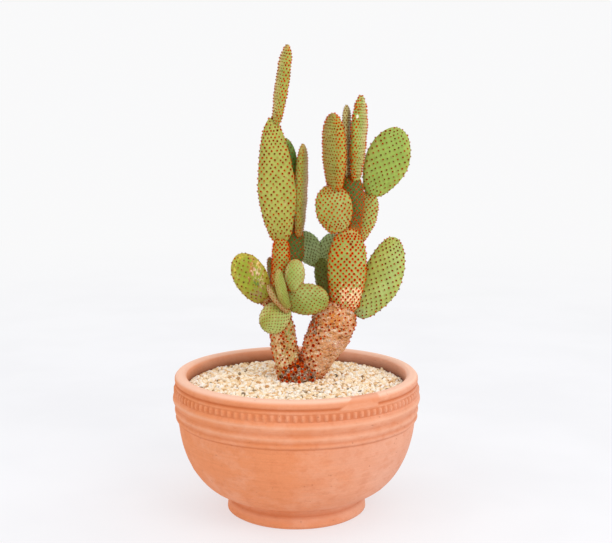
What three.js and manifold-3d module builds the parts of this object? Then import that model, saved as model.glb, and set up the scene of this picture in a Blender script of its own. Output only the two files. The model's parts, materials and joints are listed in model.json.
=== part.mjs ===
// Potted paddle cactus: a bunny-ears prickly pear in a beaded terracotta bowl, dressed with gravel.
// Millimetres, +Z up. The origin is on the floor, on the bowl's axis, and the plant's best side faces -Y.
import * as THREE from 'three';
import Module from 'manifold-3d';

const wasm = await Module();
wasm.setup();

// The bowl. Its round belly is a quarter of an ellipse, and its inside is another one.
// The foot, the ridges above the belly and the lip are turned profiles of radius and height.
const FLOOR = 0;
const BOWL_SIDES = 44;
const BELLY = { reach: 80, middle: 125, across: 64.2, down: 101.2 };
const HOLLOW = { reach: 74, middle: 127, across: 58.8, down: 97 };
const BELLY_STEPS = 7;
const HOLLOW_STEPS = 3;
const BELLY_FOOT = 24.6;
const BELLY_HEAD = 113.4;
const HOLLOW_FOOT = 34;
const INNER_FLOOR = [66, 18];
const INNER_FLOOR_EDGE = [79, 25];
const FOOT_RECESS = 4;
const FOOT_RING = [[70, FOOT_RECESS], [72, FLOOR], [84.6, FLOOR], [85, 2.5], [83.6, 13.6]];
const FOOT_COLLAR = [[81.4, 15.6], [82.4, 17.6], [80.6, 21], [82.4, 23]];
const RIDGES = [[147.2, 117.6], [146, 121], [148, 126.4], [147, 131.8], [150, 139.4], [149.6, 143.6]];
const LIP_GROOVE = [[147.4, 156.8], [145.4, 159.4], [147.2, 161.6]];
const LIP = [[147.4, 166], [144.2, 169.6], [136.8, 170], [132.8, 167]];

// The row of beads pressed into the band under the lip.
const BEAD_COUNT = 108;
const BEAD_FOOT = 146.4;
const BEAD_HEAD = 154.8;
const BEAD_BEVEL = 1.8;
const BEAD_GROUND = 146.8;
const BEAD_RELIEF = 2.2;

// What fills the bowl.
const CLEARANCE = 0.35;
const SOIL_TOP = 145;
const GRAVEL_EDGE = 153;
const GRAVEL_CROWN = 158;
const STONE_SPACING = 9.5;
const STONE_RELIEF = 3.2;
const STONE_DRIFT = 0.03;
const STONE_SEED = 20;
const DRAW_FACTOR = 16807;
const DRAW_RANGE = 2147483647;

// The plant. Its spine cushions, the areoles, stand on a lattice that closes up towards each pad's rim.
const AREOLE_SPACING = 7;
const LEAST_COLUMNS = 8;
const AREOLE_HEIGHT = 1.8;
const NARROW_SHARE = 0.6;
const ROUNDING_WEIGHT = 1;
const RIM_FULLNESS = 0.86;
const MEASURE_STEPS = 120;
const NORMAL_STEP = 1e-3;

const finishes = {
  terracotta: { color: 0xe0916b, roughness: 0.8 },
  soil: { color: 0x4a3628, roughness: 1 },
  gravel: { color: 0xe4d2b2, roughness: 0.9 },
  cork: { color: 0xb98a63, roughness: 0.9 },
  old: { color: 0x9b8a4e, roughness: 0.75 },
  green: { color: 0x86a35a, roughness: 0.65 },
  young: { color: 0xa2b06a, roughness: 0.65 },
  shaded: { color: 0x4f6f3a, roughness: 0.7 },
  dusty: { color: 0x7f9a7c, roughness: 0.75 },
};

// Every stem and pad, from the root up: a piece stands on one that comes before it.
// name, base, tip, width, thickness, turn of its face to the right in degrees,
// how wide its base is and where it is widest as shares, bluntness of its tip, sideways bow, finish
const STEMS_AND_PADS = [
  ['root_crown', [3, 5, 110], [3, 5, 181], 47, 46, 0, 0.5, 0.72, 2.6, 0, 'cork'],
  ['left_trunk', [-9, 8, 157], [-26, 3, 259], 31, 28, 0, 0.9, 0.35, 3, 2, 'cork'],
  ['right_trunk', [11.4, 8, 156], [56.8, 2, 252], 51, 35, 0, 0.48, 0.7, 3, 0, 'cork'],
  ['left_neck', [-20, 2, 248], [-18, 1, 335], 21, 17, 0, 0.9, 0.5, 4, 0, 'old'],
  ['left_tall_pad', [-18.6, 1, 326], [-29, -2, 475], 46, 14, -10, 0.42, 0.42, 1.35, 0, 'green'],
  ['left_club_pad', [-23.8, -2, 466], [-9.6, -8, 559], 27, 11, -65, 0.5, 0.5, 2.6, 0, 'young'],
  ['left_back_stem', [-15, 15, 246], [1, 29, 341], 25, 14, 15, 0.6, 0.6, 3, 0, 'old'],
  ['left_back_pad', [-7.5, 31, 332], [-14.8, 31, 450.5], 31, 12, -10, 0.4, 0.6, 2.6, 0, 'shaded'],
  ['left_narrow_pad', [3, 23, 331], [8, 18, 444], 28, 11, 68, 0.45, 0.5, 2.4, 0, 'old'],
  ['side_knob', [-22, 4, 243], [-40, 2, 262], 17, 15, 0, 0.8, 0.5, 4, 0, 'cork'],
  ['side_pad', [-39, 1, 255], [-69.4, -6, 313.4], 42, 13, -5, 0.45, 0.52, 2, 0, 'young'],
  ['shaded_pad', [-25, 12, 250], [-33, 27, 306], 16, 8, -70, 0.5, 0.6, 2.4, 0, 'shaded'],
  ['front_oval_pad', [-13, -3, 254.8], [38, -30, 265.8], 38, 12, 0, 0.5, 0.52, 2.2, 0, 'young'],
  ['front_ear_pad', [-2, -13, 268], [-1, -11, 308], 24, 9, 0, 0.4, 0.55, 2, 0, 'young'],
  ['front_round_pad', [-11, -8, 251], [-39.4, -29, 226.8], 36, 11, 0, 0.5, 0.52, 2.1, 0, 'young'],
  ['front_edge_pad', [-10, -12, 245], [-34, -26, 279], 18, 9.5, 76, 0.5, 0.5, 2.4, -2, 'old'],
  ['front_curved_pad', [-9, -12, 249], [-22, -27, 298], 21, 10, 68, 0.5, 0.5, 3, -6, 'young'],
  ['right_main_pad', [59, 2, 243], [63, 1, 344], 46, 17, 5, 0.6, 0.52, 2.4, 0, 'green'],
  ['right_round_pad', [49.5, 0, 339], [40.2, -8, 396], 44, 13, -5, 0.45, 0.5, 2, 0, 'green'],
  ['right_front_club', [46, -7, 389], [43, -13, 480], 40, 14, -55, 0.5, 0.5, 2.6, 0, 'young'],
  ['right_wedge_pad', [70, 4, 336], [65, 14, 406], 29, 13, 5, 0.35, 0.7, 2.6, 0, 'shaded'],
  ['right_slim_club', [61, 19, 399], [60, 21, 490], 28, 10, 78, 0.5, 0.5, 2.4, 0, 'young'],
  ['right_tall_club', [71, 10, 399], [77, 8, 501], 27, 11, 52, 0.45, 0.5, 2.4, 0, 'young'],
  ['right_back_oval', [76, 8, 327], [88, 31, 386], 32, 12, -18, 0.35, 0.58, 2.2, 0, 'green'],
  ['right_top_pad', [90, 27, 381.5], [124.8, 32, 462], 53.5, 13, 5, 0.38, 0.52, 2, 2, 'green'],
  ['right_long_pad', [73.5, 12, 234.5], [121.5, 22, 330], 49, 14, -12, 0.42, 0.46, 2, 6, 'green'],
  ['rear_stem', [47, 12, 240], [30, 47, 302], 20, 13, 0, 0.6, 0.6, 3, -4, 'shaded'],
  ['rear_left_ear', [26, 45, 293], [2, 55, 333], 33, 11, 0, 0.35, 0.55, 2, 0, 'dusty'],
  ['rear_right_ear', [34, 46, 293], [51.6, 60, 331], 33, 11, 0, 0.35, 0.55, 2, 0, 'dusty'],
];

// Joins two rings of points with triangles. Where both have as many points, the diagonals alternate.
function zipRings(faces, lower, upper, level) {
  const lowerSteps = lower.count > 1 ? lower.count : 0;
  const upperSteps = upper.count > 1 ? upper.count : 0;
  let a = 0;
  let b = 0;
  while (a < lowerSteps || b < upperSteps) {
    const lead = (b + 1) / upper.count - (a + 1) / lower.count;
    const lowerFirst = lead > 0 || (lead === 0 && (a + level) % 2 === 0);
    if (b === upperSteps || (a < lowerSteps && lowerFirst)) {
      faces.push(lower.start + a, lower.start + ((a + 1) % lower.count), upper.start + (b % upper.count));
      a += 1;
    } else {
      faces.push(lower.start + (a % lower.count), upper.start + ((b + 1) % upper.count), upper.start + b);
      b += 1;
    }
  }
}

// A closed skin over rings of points, each going left about the way from the first ring to the last.
// The first and the last ring are one point each.
function skinOver(rings) {
  const points = rings.flat();
  const faces = [];
  let start = 0;
  const spans = rings.map((ring) => {
    const span = { start, count: ring.length };
    start += ring.length;
    return span;
  });
  for (let level = 0; level + 1 < spans.length; level += 1) {
    zipRings(faces, spans[level], spans[level + 1], level);
  }
  const geometry = new THREE.BufferGeometry().setFromPoints(points);
  geometry.setIndex(faces);
  return geometry;
}

function toSolid(geometry) {
  const vertProperties = new Float32Array(geometry.attributes.position.array);
  const triVerts = new Uint32Array(geometry.index.array);
  return new wasm.Manifold(new wasm.Mesh({ numProp: 3, vertProperties, triVerts }));
}

function toGeometry(solid) {
  const mesh = solid.getMesh();
  const geometry = new THREE.BufferGeometry();
  geometry.setAttribute('position', new THREE.BufferAttribute(new Float32Array(mesh.vertProperties), 3));
  geometry.setIndex(new THREE.BufferAttribute(new Uint32Array(mesh.triVerts), 1));
  return geometry;
}

function largestPiece(solid) {
  const pieces = solid.decompose();
  return pieces.reduce((best, piece) => (piece.volume() > best.volume() ? piece : best));
}

// How wide a pad is at a share of its length: from its neck it swells to full and closes at the tip.
function outline(share, neck, widest, bluntness) {
  if (share <= widest) {
    return neck + (1 - neck) * Math.sin((Math.PI / 2) * (share / widest));
  }
  return Math.sqrt(Math.max(0, 1 - ((share - widest) / (1 - widest)) ** bluntness));
}

function fuller(value) {
  return Math.sign(value) * Math.abs(value) ** RIM_FULLNESS;
}

function describePad(row) {
  const [name, base, tip, width, thickness, turn, neck, widest, bluntness, bow, finish] = row;
  const root = new THREE.Vector3(...base);
  const reach = new THREE.Vector3(...tip).sub(root);
  const axis = reach.clone().normalize();
  const face = new THREE.Vector3(0, -1, 0).projectOnPlane(axis).normalize();
  face.applyAxisAngle(axis, THREE.MathUtils.degToRad(turn));
  const side = new THREE.Vector3().crossVectors(axis, face);
  return { name, root, reach, axis, face, side, width, thickness, neck, widest, bluntness, bow, finish };
}

function padPoint(pad, share, angle) {
  const halfWidth = (pad.width / 2) * outline(share, pad.neck, pad.widest, pad.bluntness);
  const neckDepth = (1 + pad.neck) / 2;
  const halfDepth = (pad.thickness / 2) * outline(share, neckDepth, pad.widest, pad.bluntness + 1);
  const point = pad.root.clone().addScaledVector(pad.reach, share);
  point.addScaledVector(pad.side, halfWidth * fuller(Math.cos(angle)) + pad.bow * Math.sin(Math.PI * share));
  point.addScaledVector(pad.face, -halfDepth * fuller(Math.sin(angle)));
  return point;
}

function padNormal(pad, share, angle) {
  const point = padPoint(pad, share, angle);
  const along = padPoint(pad, share + NORMAL_STEP, angle).sub(point);
  const around = padPoint(pad, share, angle + NORMAL_STEP).sub(point);
  return around.cross(along).normalize();
}

// Where equal lengths of the way along a curve end, as parameters between 0 and 1.
function evenParameters(pointAt, count) {
  const lengths = [0];
  for (let i = 1; i <= MEASURE_STEPS; i += 1) {
    const step = pointAt(i / MEASURE_STEPS).distanceTo(pointAt((i - 1) / MEASURE_STEPS));
    lengths.push(lengths[i - 1] + step);
  }
  const parameters = [];
  let i = 1;
  for (let k = 0; k < count; k += 1) {
    const wanted = (lengths[MEASURE_STEPS] * k) / count;
    while (lengths[i] < wanted) {
      i += 1;
    }
    const share = (wanted - lengths[i - 1]) / (lengths[i] - lengths[i - 1]);
    parameters.push((i - 1 + share) / MEASURE_STEPS);
  }
  return { parameters, length: lengths[MEASURE_STEPS] };
}

// The lattice of a pad: the shares of its length where its rows lie, and round the pad the angles of
// the full columns. A row where the pad is narrow has every second one.
function areoleLattice(pad) {
  const section = (t) => padPoint(pad, pad.widest, 2 * Math.PI * t);
  const girth = evenParameters(section, 1).length;
  const columns = Math.max(LEAST_COLUMNS, 4 * Math.round(girth / AREOLE_SPACING / 4));
  const angles = evenParameters(section, columns).parameters.map((t) => 2 * Math.PI * t);
  const measure = (t) => {
    const width = outline(t, pad.neck, pad.widest, pad.bluntness) * (pad.width / 2);
    return new THREE.Vector2(pad.reach.length() * t, ROUNDING_WEIGHT * width);
  };
  const rows = Math.round(evenParameters(measure, 1).length / AREOLE_SPACING);
  return { angles, shares: evenParameters(measure, rows).parameters };
}

// A pad or stem with areoles raised from every second point of its skin, and grown by an allowance.
function padSolid(pad, areoleHeight, growth) {
  const { angles, shares } = areoleLattice(pad);
  const rings = [[pad.root.clone().addScaledVector(pad.axis, -growth)]];
  shares.forEach((share, row) => {
    const isNarrow = outline(share, pad.neck, pad.widest, pad.bluntness) < NARROW_SHARE;
    const rowAngles = isNarrow ? angles.filter((_, i) => i % 2 === 0) : angles;
    rings.push(rowAngles.map((angle, column) => {
      const isAreole = row > 0 && (row + column) % 2 === 0;
      const lift = growth + (isAreole ? areoleHeight : 0);
      const point = padPoint(pad, share, angle).addScaledVector(padNormal(pad, share, angle), lift);
      return row > 0 ? point : point.addScaledVector(pad.axis, -growth);
    }));
  });
  rings.push([pad.root.clone().add(pad.reach).addScaledVector(pad.axis, growth)]);
  return toSolid(skinOver(rings));
}

function circle(radius, height, count) {
  const ring = [];
  for (let i = 0; i < count; i += 1) {
    const angle = (2 * Math.PI * i) / count;
    ring.push(new THREE.Vector3(radius * Math.cos(angle), radius * Math.sin(angle), height));
  }
  return ring;
}

function axisPoint(height) {
  return [new THREE.Vector3(0, 0, height)];
}

// Points on the arc between two heights, closer together where the wall runs flat.
function pointsOnArc(arc, from, to, steps) {
  const low = Math.asin(Math.min(1, Math.max(0, (arc.middle - from) / arc.down)));
  const high = Math.asin(Math.min(1, Math.max(0, (arc.middle - to) / arc.down)));
  const points = [];
  for (let i = 0; i <= steps; i += 1) {
    const angle = low + ((high - low) * i) / steps;
    points.push([arc.reach + arc.across * Math.cos(angle), arc.middle - arc.down * Math.sin(angle)]);
  }
  return points;
}

// A ring round the bead band: every second point stands out as a bead.
function beadRing(height) {
  return circle(1, height, 2 * BEAD_COUNT).map((point, i) => {
    const radius = BEAD_GROUND + (i % 2 === 0 ? BEAD_RELIEF : 0);
    return new THREE.Vector3(point.x * radius, point.y * radius, height);
  });
}

function bowlRings() {
  const hollow = pointsOnArc(HOLLOW, HOLLOW_FOOT, HOLLOW.middle, HOLLOW_STEPS).reverse();
  const toRing = ([radius, height]) => circle(radius, height, BOWL_SIDES);
  return [
    axisPoint(FOOT_RECESS),
    ...FOOT_RING.map(toRing),
    ...FOOT_COLLAR.map(toRing),
    ...pointsOnArc(BELLY, BELLY_FOOT, BELLY_HEAD, BELLY_STEPS).map(toRing),
    ...RIDGES.map(toRing),
    toRing([BEAD_GROUND, BEAD_FOOT]),
    beadRing(BEAD_FOOT + BEAD_BEVEL),
    beadRing(BEAD_HEAD - BEAD_BEVEL),
    toRing([BEAD_GROUND, BEAD_HEAD]),
    ...LIP_GROOVE.map(toRing),
    ...LIP.map(toRing),
    ...hollow.map(toRing),
    toRing(INNER_FLOOR_EDGE),
    toRing(INNER_FLOOR),
    axisPoint(INNER_FLOOR[1]),
  ];
}

function soilRings() {
  const walls = pointsOnArc(HOLLOW, HOLLOW_FOOT, HOLLOW.middle, HOLLOW_STEPS);
  const profile = [INNER_FLOOR, INNER_FLOOR_EDGE, ...walls].map(([radius, height]) => [
    radius - 2 * CLEARANCE,
    height + CLEARANCE,
  ]);
  return [
    axisPoint(INNER_FLOOR[1] + CLEARANCE),
    ...profile.map(([radius, height]) => circle(radius, height, BOWL_SIDES)),
    circle(HOLLOW.reach + HOLLOW.across - 2 * CLEARANCE, SOIL_TOP, BOWL_SIDES),
    axisPoint(SOIL_TOP),
  ];
}

// A fixed sequence of draws between 0 and 1.
function makeDraw(seed) {
  let state = seed;
  return () => {
    state = (state * DRAW_FACTOR) % DRAW_RANGE;
    return state / DRAW_RANGE;
  };
}

// A low mound of stones, whose tops and hollows alternate at random heights.
function gravelRings() {
  const draw = makeDraw(STONE_SEED);
  const edge = HOLLOW.reach + HOLLOW.across - 2 * CLEARANCE;
  const rings = [axisPoint(SOIL_TOP + CLEARANCE), circle(edge, SOIL_TOP + CLEARANCE, BOWL_SIDES)];
  rings.push(circle(edge, GRAVEL_EDGE, BOWL_SIDES));
  const ringCount = Math.floor(edge / STONE_SPACING);
  for (let i = ringCount - 1; i >= 1; i -= 1) {
    const radius = (edge * i) / ringCount;
    const count = 2 * Math.round((Math.PI * radius) / STONE_SPACING);
    const mound = GRAVEL_CROWN + (GRAVEL_EDGE - GRAVEL_CROWN) * (radius / edge) ** 2;
    rings.push(circle(radius, mound, count).map((point, j) => {
      const relief = STONE_RELIEF * (draw() - ((i + j) % 2));
      const drift = 1 + (draw() - 0.5) * STONE_DRIFT;
      return new THREE.Vector3(point.x * drift, point.y * drift, mound + relief);
    }));
  }
  rings.push(axisPoint(GRAVEL_CROWN));
  return rings;
}

function makeMesh(name, solid, finish) {
  const material = new THREE.MeshStandardMaterial({ ...finishes[finish], metalness: 0 });
  const mesh = new THREE.Mesh(toGeometry(solid), material);
  mesh.name = name;
  return mesh;
}

function boxesMeet(one, other) {
  const a = one.boundingBox();
  const b = other.boundingBox();
  return [0, 1, 2].every((i) => a.min[i] < b.max[i] && b.min[i] < a.max[i]);
}

// Cuts a solid clear of every grown solid that it may reach.
function cutClear(solid, grownSolids) {
  let result = solid;
  for (const grown of grownSolids) {
    if (boxesMeet(result, grown)) {
      result = result.subtract(grown);
    }
  }
  return largestPiece(result);
}

const plant = new THREE.Group();
const seats = [];
const stemHoles = [];
for (const row of STEMS_AND_PADS) {
  const pad = describePad(row);
  const solid = cutClear(padSolid(pad, AREOLE_HEIGHT, 0), seats);
  plant.add(makeMesh(pad.name, solid, pad.finish));
  seats.push(padSolid(pad, AREOLE_HEIGHT, CLEARANCE));
  stemHoles.push(padSolid(pad, 0, AREOLE_HEIGHT + CLEARANCE));
}

const filling = new THREE.Group();
filling.add(makeMesh('soil', cutClear(toSolid(skinOver(soilRings())), stemHoles), 'soil'));
filling.add(makeMesh('gravel', cutClear(toSolid(skinOver(gravelRings())), stemHoles), 'gravel'));

const group = new THREE.Group();
group.add(makeMesh('bowl', toSolid(skinOver(bowlRings())), 'terracotta'));
group.add(filling);
group.add(plant);

export default group;
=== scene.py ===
import json
import math
from types import SimpleNamespace

import bpy
import numpy as np
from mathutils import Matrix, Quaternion, Vector
from mathutils.bvhtree import BVHTree


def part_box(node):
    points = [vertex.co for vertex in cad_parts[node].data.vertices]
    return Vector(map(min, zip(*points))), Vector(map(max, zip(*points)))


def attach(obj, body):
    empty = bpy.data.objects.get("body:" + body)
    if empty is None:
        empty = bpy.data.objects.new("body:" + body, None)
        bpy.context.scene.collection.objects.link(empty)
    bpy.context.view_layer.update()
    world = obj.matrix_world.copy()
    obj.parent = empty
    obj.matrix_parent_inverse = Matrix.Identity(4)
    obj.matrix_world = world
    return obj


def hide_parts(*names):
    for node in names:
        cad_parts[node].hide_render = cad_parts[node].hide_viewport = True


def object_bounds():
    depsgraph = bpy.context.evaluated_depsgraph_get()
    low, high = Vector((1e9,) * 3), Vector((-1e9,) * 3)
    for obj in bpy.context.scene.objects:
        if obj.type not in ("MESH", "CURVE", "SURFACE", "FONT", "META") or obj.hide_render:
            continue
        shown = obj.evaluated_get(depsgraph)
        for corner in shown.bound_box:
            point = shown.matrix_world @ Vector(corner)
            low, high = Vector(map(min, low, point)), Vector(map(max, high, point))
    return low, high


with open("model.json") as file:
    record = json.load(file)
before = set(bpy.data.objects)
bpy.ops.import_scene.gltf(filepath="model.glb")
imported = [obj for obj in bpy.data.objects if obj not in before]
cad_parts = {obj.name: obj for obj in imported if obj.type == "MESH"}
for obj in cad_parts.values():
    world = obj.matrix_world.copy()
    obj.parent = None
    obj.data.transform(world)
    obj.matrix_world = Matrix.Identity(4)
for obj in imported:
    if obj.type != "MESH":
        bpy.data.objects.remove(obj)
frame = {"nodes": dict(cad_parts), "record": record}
CAD_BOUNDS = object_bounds()

# How many waves a random rise and fall is made of
WAVES = 14

# The camera stands in front of the bowl, a little above the plant's middle, and looks slightly down.
CAMERA_PLACE = (0.0116, -1.29, 0.4753)
CAMERA_PITCH = 8.1
SENSOR_WIDTH = 36
LENS = 63.8

BACKDROP = (0.95, 0.95, 0.955, 1)
FLOOR_GLOW = (0.55, 0.55, 0.565, 1)
FLOOR_TONES = ((0.35, 0.35, 0.36, 1), (0.38, 0.38, 0.39, 1))
FLOOR_RADIUS = 9
FLOOR_FADE = (0.35, 3.0)

# The bowl, as radius and height. Its belly and its hollow are quarters of ellipses.
FOOT = [
    (0.07, 0.004), (0.072, 0), (0.0846, 0), (0.085, 0.0025), (0.0836, 0.0136),
    (0.0814, 0.0156), (0.0824, 0.0176), (0.0806, 0.021), (0.0824, 0.023),
]
RIDGES = [
    (0.1472, 0.1176), (0.146, 0.121), (0.148, 0.1264),
    (0.147, 0.1318), (0.15, 0.1394), (0.1496, 0.1436),
]
LIP_GROOVE = [(0.1474, 0.1568), (0.1454, 0.1594), (0.1472, 0.1616)]
LIP = [(0.1474, 0.166), (0.1442, 0.1696), (0.1368, 0.17), (0.1328, 0.167)]
INNER_FLOOR = [(0.079, 0.025), (0.066, 0.018), (0, 0.018)]
DRAIN_HOLE = [(0, 0.013), (0.0065, 0.013), (0.0075, 0.0048), (0.009, 0.004)]
BELLY = SimpleNamespace(reach=0.08, middle=0.125, across=0.0642, down=0.1012)
HOLLOW = SimpleNamespace(reach=0.074, middle=0.127, across=0.0588, down=0.097)
BELLY_FOOT = 0.0246
BELLY_HEAD = 0.1134
HOLLOW_FOOT = 0.034
FOOT_REACH = 0.075
FOOT_TOP = 0.022
BOWL_SEGMENTS = 864
BELLY_POINTS = 40
HOLLOW_POINTS = 30
HOLLOW_POINTS_ABOVE = 12
PROFILE_STEP = 0.00025
PROFILE_ROUNDING = 0.0006
ROUNDING_STEPS = 12

# The row of beads: its size, where a bead's top ends and its notch begins as shares of half a bead,
# and how far one bead differs from the next
BEAD_COUNT = 108
BEAD_FOOT = 0.1464
BEAD_HEAD = 0.1548
BEAD_GROUND = 0.1468
BEAD_RELIEF = 0.0021
BEAD_TOP = 0.24
BEAD_NOTCH = 0.62
BEAD_DRIFT = 0.0003
BEAD_CHANGE = 0.1
NOTCH_FLOOR = 0.0009
NOTCH_FADE = 0.0012

# Lines cut round the bowl: how deep, at which height and how wide
SCORED_LINES = [(0.0009, 0.1149, 0.0007), (0.0003, 0.1105, 0.0006), (0.0005, 0.1439, 0.0005)]

# Where the grooves of the bowl and of its foot are darkened, which is painted shade, and where crests are
# rubbed pale with a painted highlight: how much, height and width
GROOVE_SHADE_LINES = [(0.8, 0.1149, 0.0007), (0.3, 0.1105, 0.0007), (0.5, 0.121, 0.0016), (0.35, 0.1318, 0.0025)]
FOOT_GROOVE_SHADE_LINES = [(0.9, 0.0212, 0.0011), (0.6, 0.0154, 0.0009)]
PALE_LINES = [
    (1, 0.1405, 0.002), (0.7, 0.1265, 0.0018), (1, 0.169, 0.003),
    (0.8, 0.0176, 0.0012), (0.5, 0.011, 0.003),
]
# Painted shade in the groove under the lip
LIP_GROOVE_SHADE = (1, 0.1594, 0.0017)

# A mend fills the groove under the lip. Its two ends lie in degrees to the right of the front,
# and the first slants.
PATCH_FROM = 21
PATCH_TO = 39
PATCH_SLANT = 700
PATCH_MIDDLE = 0.162
PATCH_RADIUS = 0.1479
PATCH_DEPTH = 0.0035
PATCH_RAGGED = 3.2
PATCH_FADE = 1.6
PATCH_TONE_FADE = 2.6
PATCH_INSIDE = 0.13
PATCH_TONE_RISE = (0.1565, 0.1585)
PATCH_RISE = (0.1566, 0.1578)
PATCH_TOP = (0.1635, 0.1665)

# The pale bloom with a painted highlight on the lip top, and the painted shade on the inner wall below the
# lip: between which heights they come in.
# The painted shade comes in downwards, so its heights are negative.
LIP_BLOOM_AND_HIGHLIGHT_RISE = (0.1655, 0.1692)
LIP_BLOOM_AND_HIGHLIGHT_INSIDE = 0.12
INNER_WALL_SHADE_FALL = (-0.167, -0.154)
INNER_WALL_SHADE_FLOOR = 0.14

# The clay's unevenness and the mend's: how high, how far apart the humps are, and their seed
CLAY_HUMPS = (0.00022, 0.5, 12)
CLAY_RIPPLES = (0.00008, 0.9, 13)
PATCH_HUMPS = (0.0005, 0.08, 33)

# What fills the bowl.
SOIL_TOP = 0.145
GRAVEL_EDGE = 0.153
GRAVEL_CROWN = 0.158
GRAVEL_REACH = 0.1308
GRAVEL_SHARE = 0.6
GRAVEL_STRAY = 0.004
BED_SINK = 0.002
CRUMB_DEPTH = 0.006
STONE_PITCH = 0.0039
STONE_SIZE = 0.0043
STONE_ROW_SHARE = 0.87
STONE_DRIFT = 0.26
STONE_LIFT = 0.0005
STONE_TILT = 0.5
STONE_UPRIGHT = 1.1
STONE_SPREAD = 0.17
STONE_BREADTHS = (0.68, 0.95)
STONE_HEIGHTS = (0.5, 0.78)
CHIP_KINDS = 6
CHIP_SEED = 40
CHIP_KNOCKS = 0.055
CHIP_SKEW = 0.16

# How all pads are built: how full their rims are, how a green pad's heel is drawn in
# and how large the skin's faces are
RIM_FULLNESS = 0.86
HEEL_RISE = 0.08
HEEL_WIDTH = 0.45
MEASURE_POINTS = 361
FACE_ROUND = 0.0019
FACE_ALONG = 0.0021
LEAST_ROUND = 24
LEAST_ALONG = 16
NORMAL_STEP = 1e-3
END_SHARE = 0.04
END_MARGIN = 0.002
WELL_INSIDE = 0.9
BOX_TOLERANCE = 0.004

# The skin's rise and fall: how high, and how far apart the humps are. Bark wrinkles run across the stem.
GREEN_HUMPS = (0.00035, 0.024)
BARK_HUMPS = (0.0008, 0.03)
BARK_WRINKLES = (0.0004, 0.012)
WRINKLE_SQUEEZE = (0.5, 0.5, 1.9)
BARK_SWELL = 0.0004

# The areoles' lattice: how far they stray round the pad and along it, in spacings, and how close two may lie
LEAST_AREOLES = 4
STRAY_ROUND = 0.075
STRAY_ALONG = 0.12
BARK_LOOSENESS = 2
CROWDED = 0.6
STAIN_REACH = 0.48
SWELLING_REACH = 0.56
FAR_ROWS = 1.12
ROW_STAIN = 1.7

# A tuft of glochids, a unit wide, and how the tufts differ
BRISTLES = 12
BRISTLE_TURN = 2.4
BRISTLE_ROOT = 0.22
BRISTLE_LENGTHS = (0.5, 0.72)
CUSHION_RADIUS = 0.46
TUFT_LEAN = 0.12
TUFT_SIZES = (0.82, 1.18)
TUFT_HEIGHTS = (0.5, 0.8)
RIM_FROM = 0.55
RIM_FADE = 0.35
RIM_REDNESS = 0.6
REDNESS_SPREAD = 0.12
CROWN_SPREAD = 0.22

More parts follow.
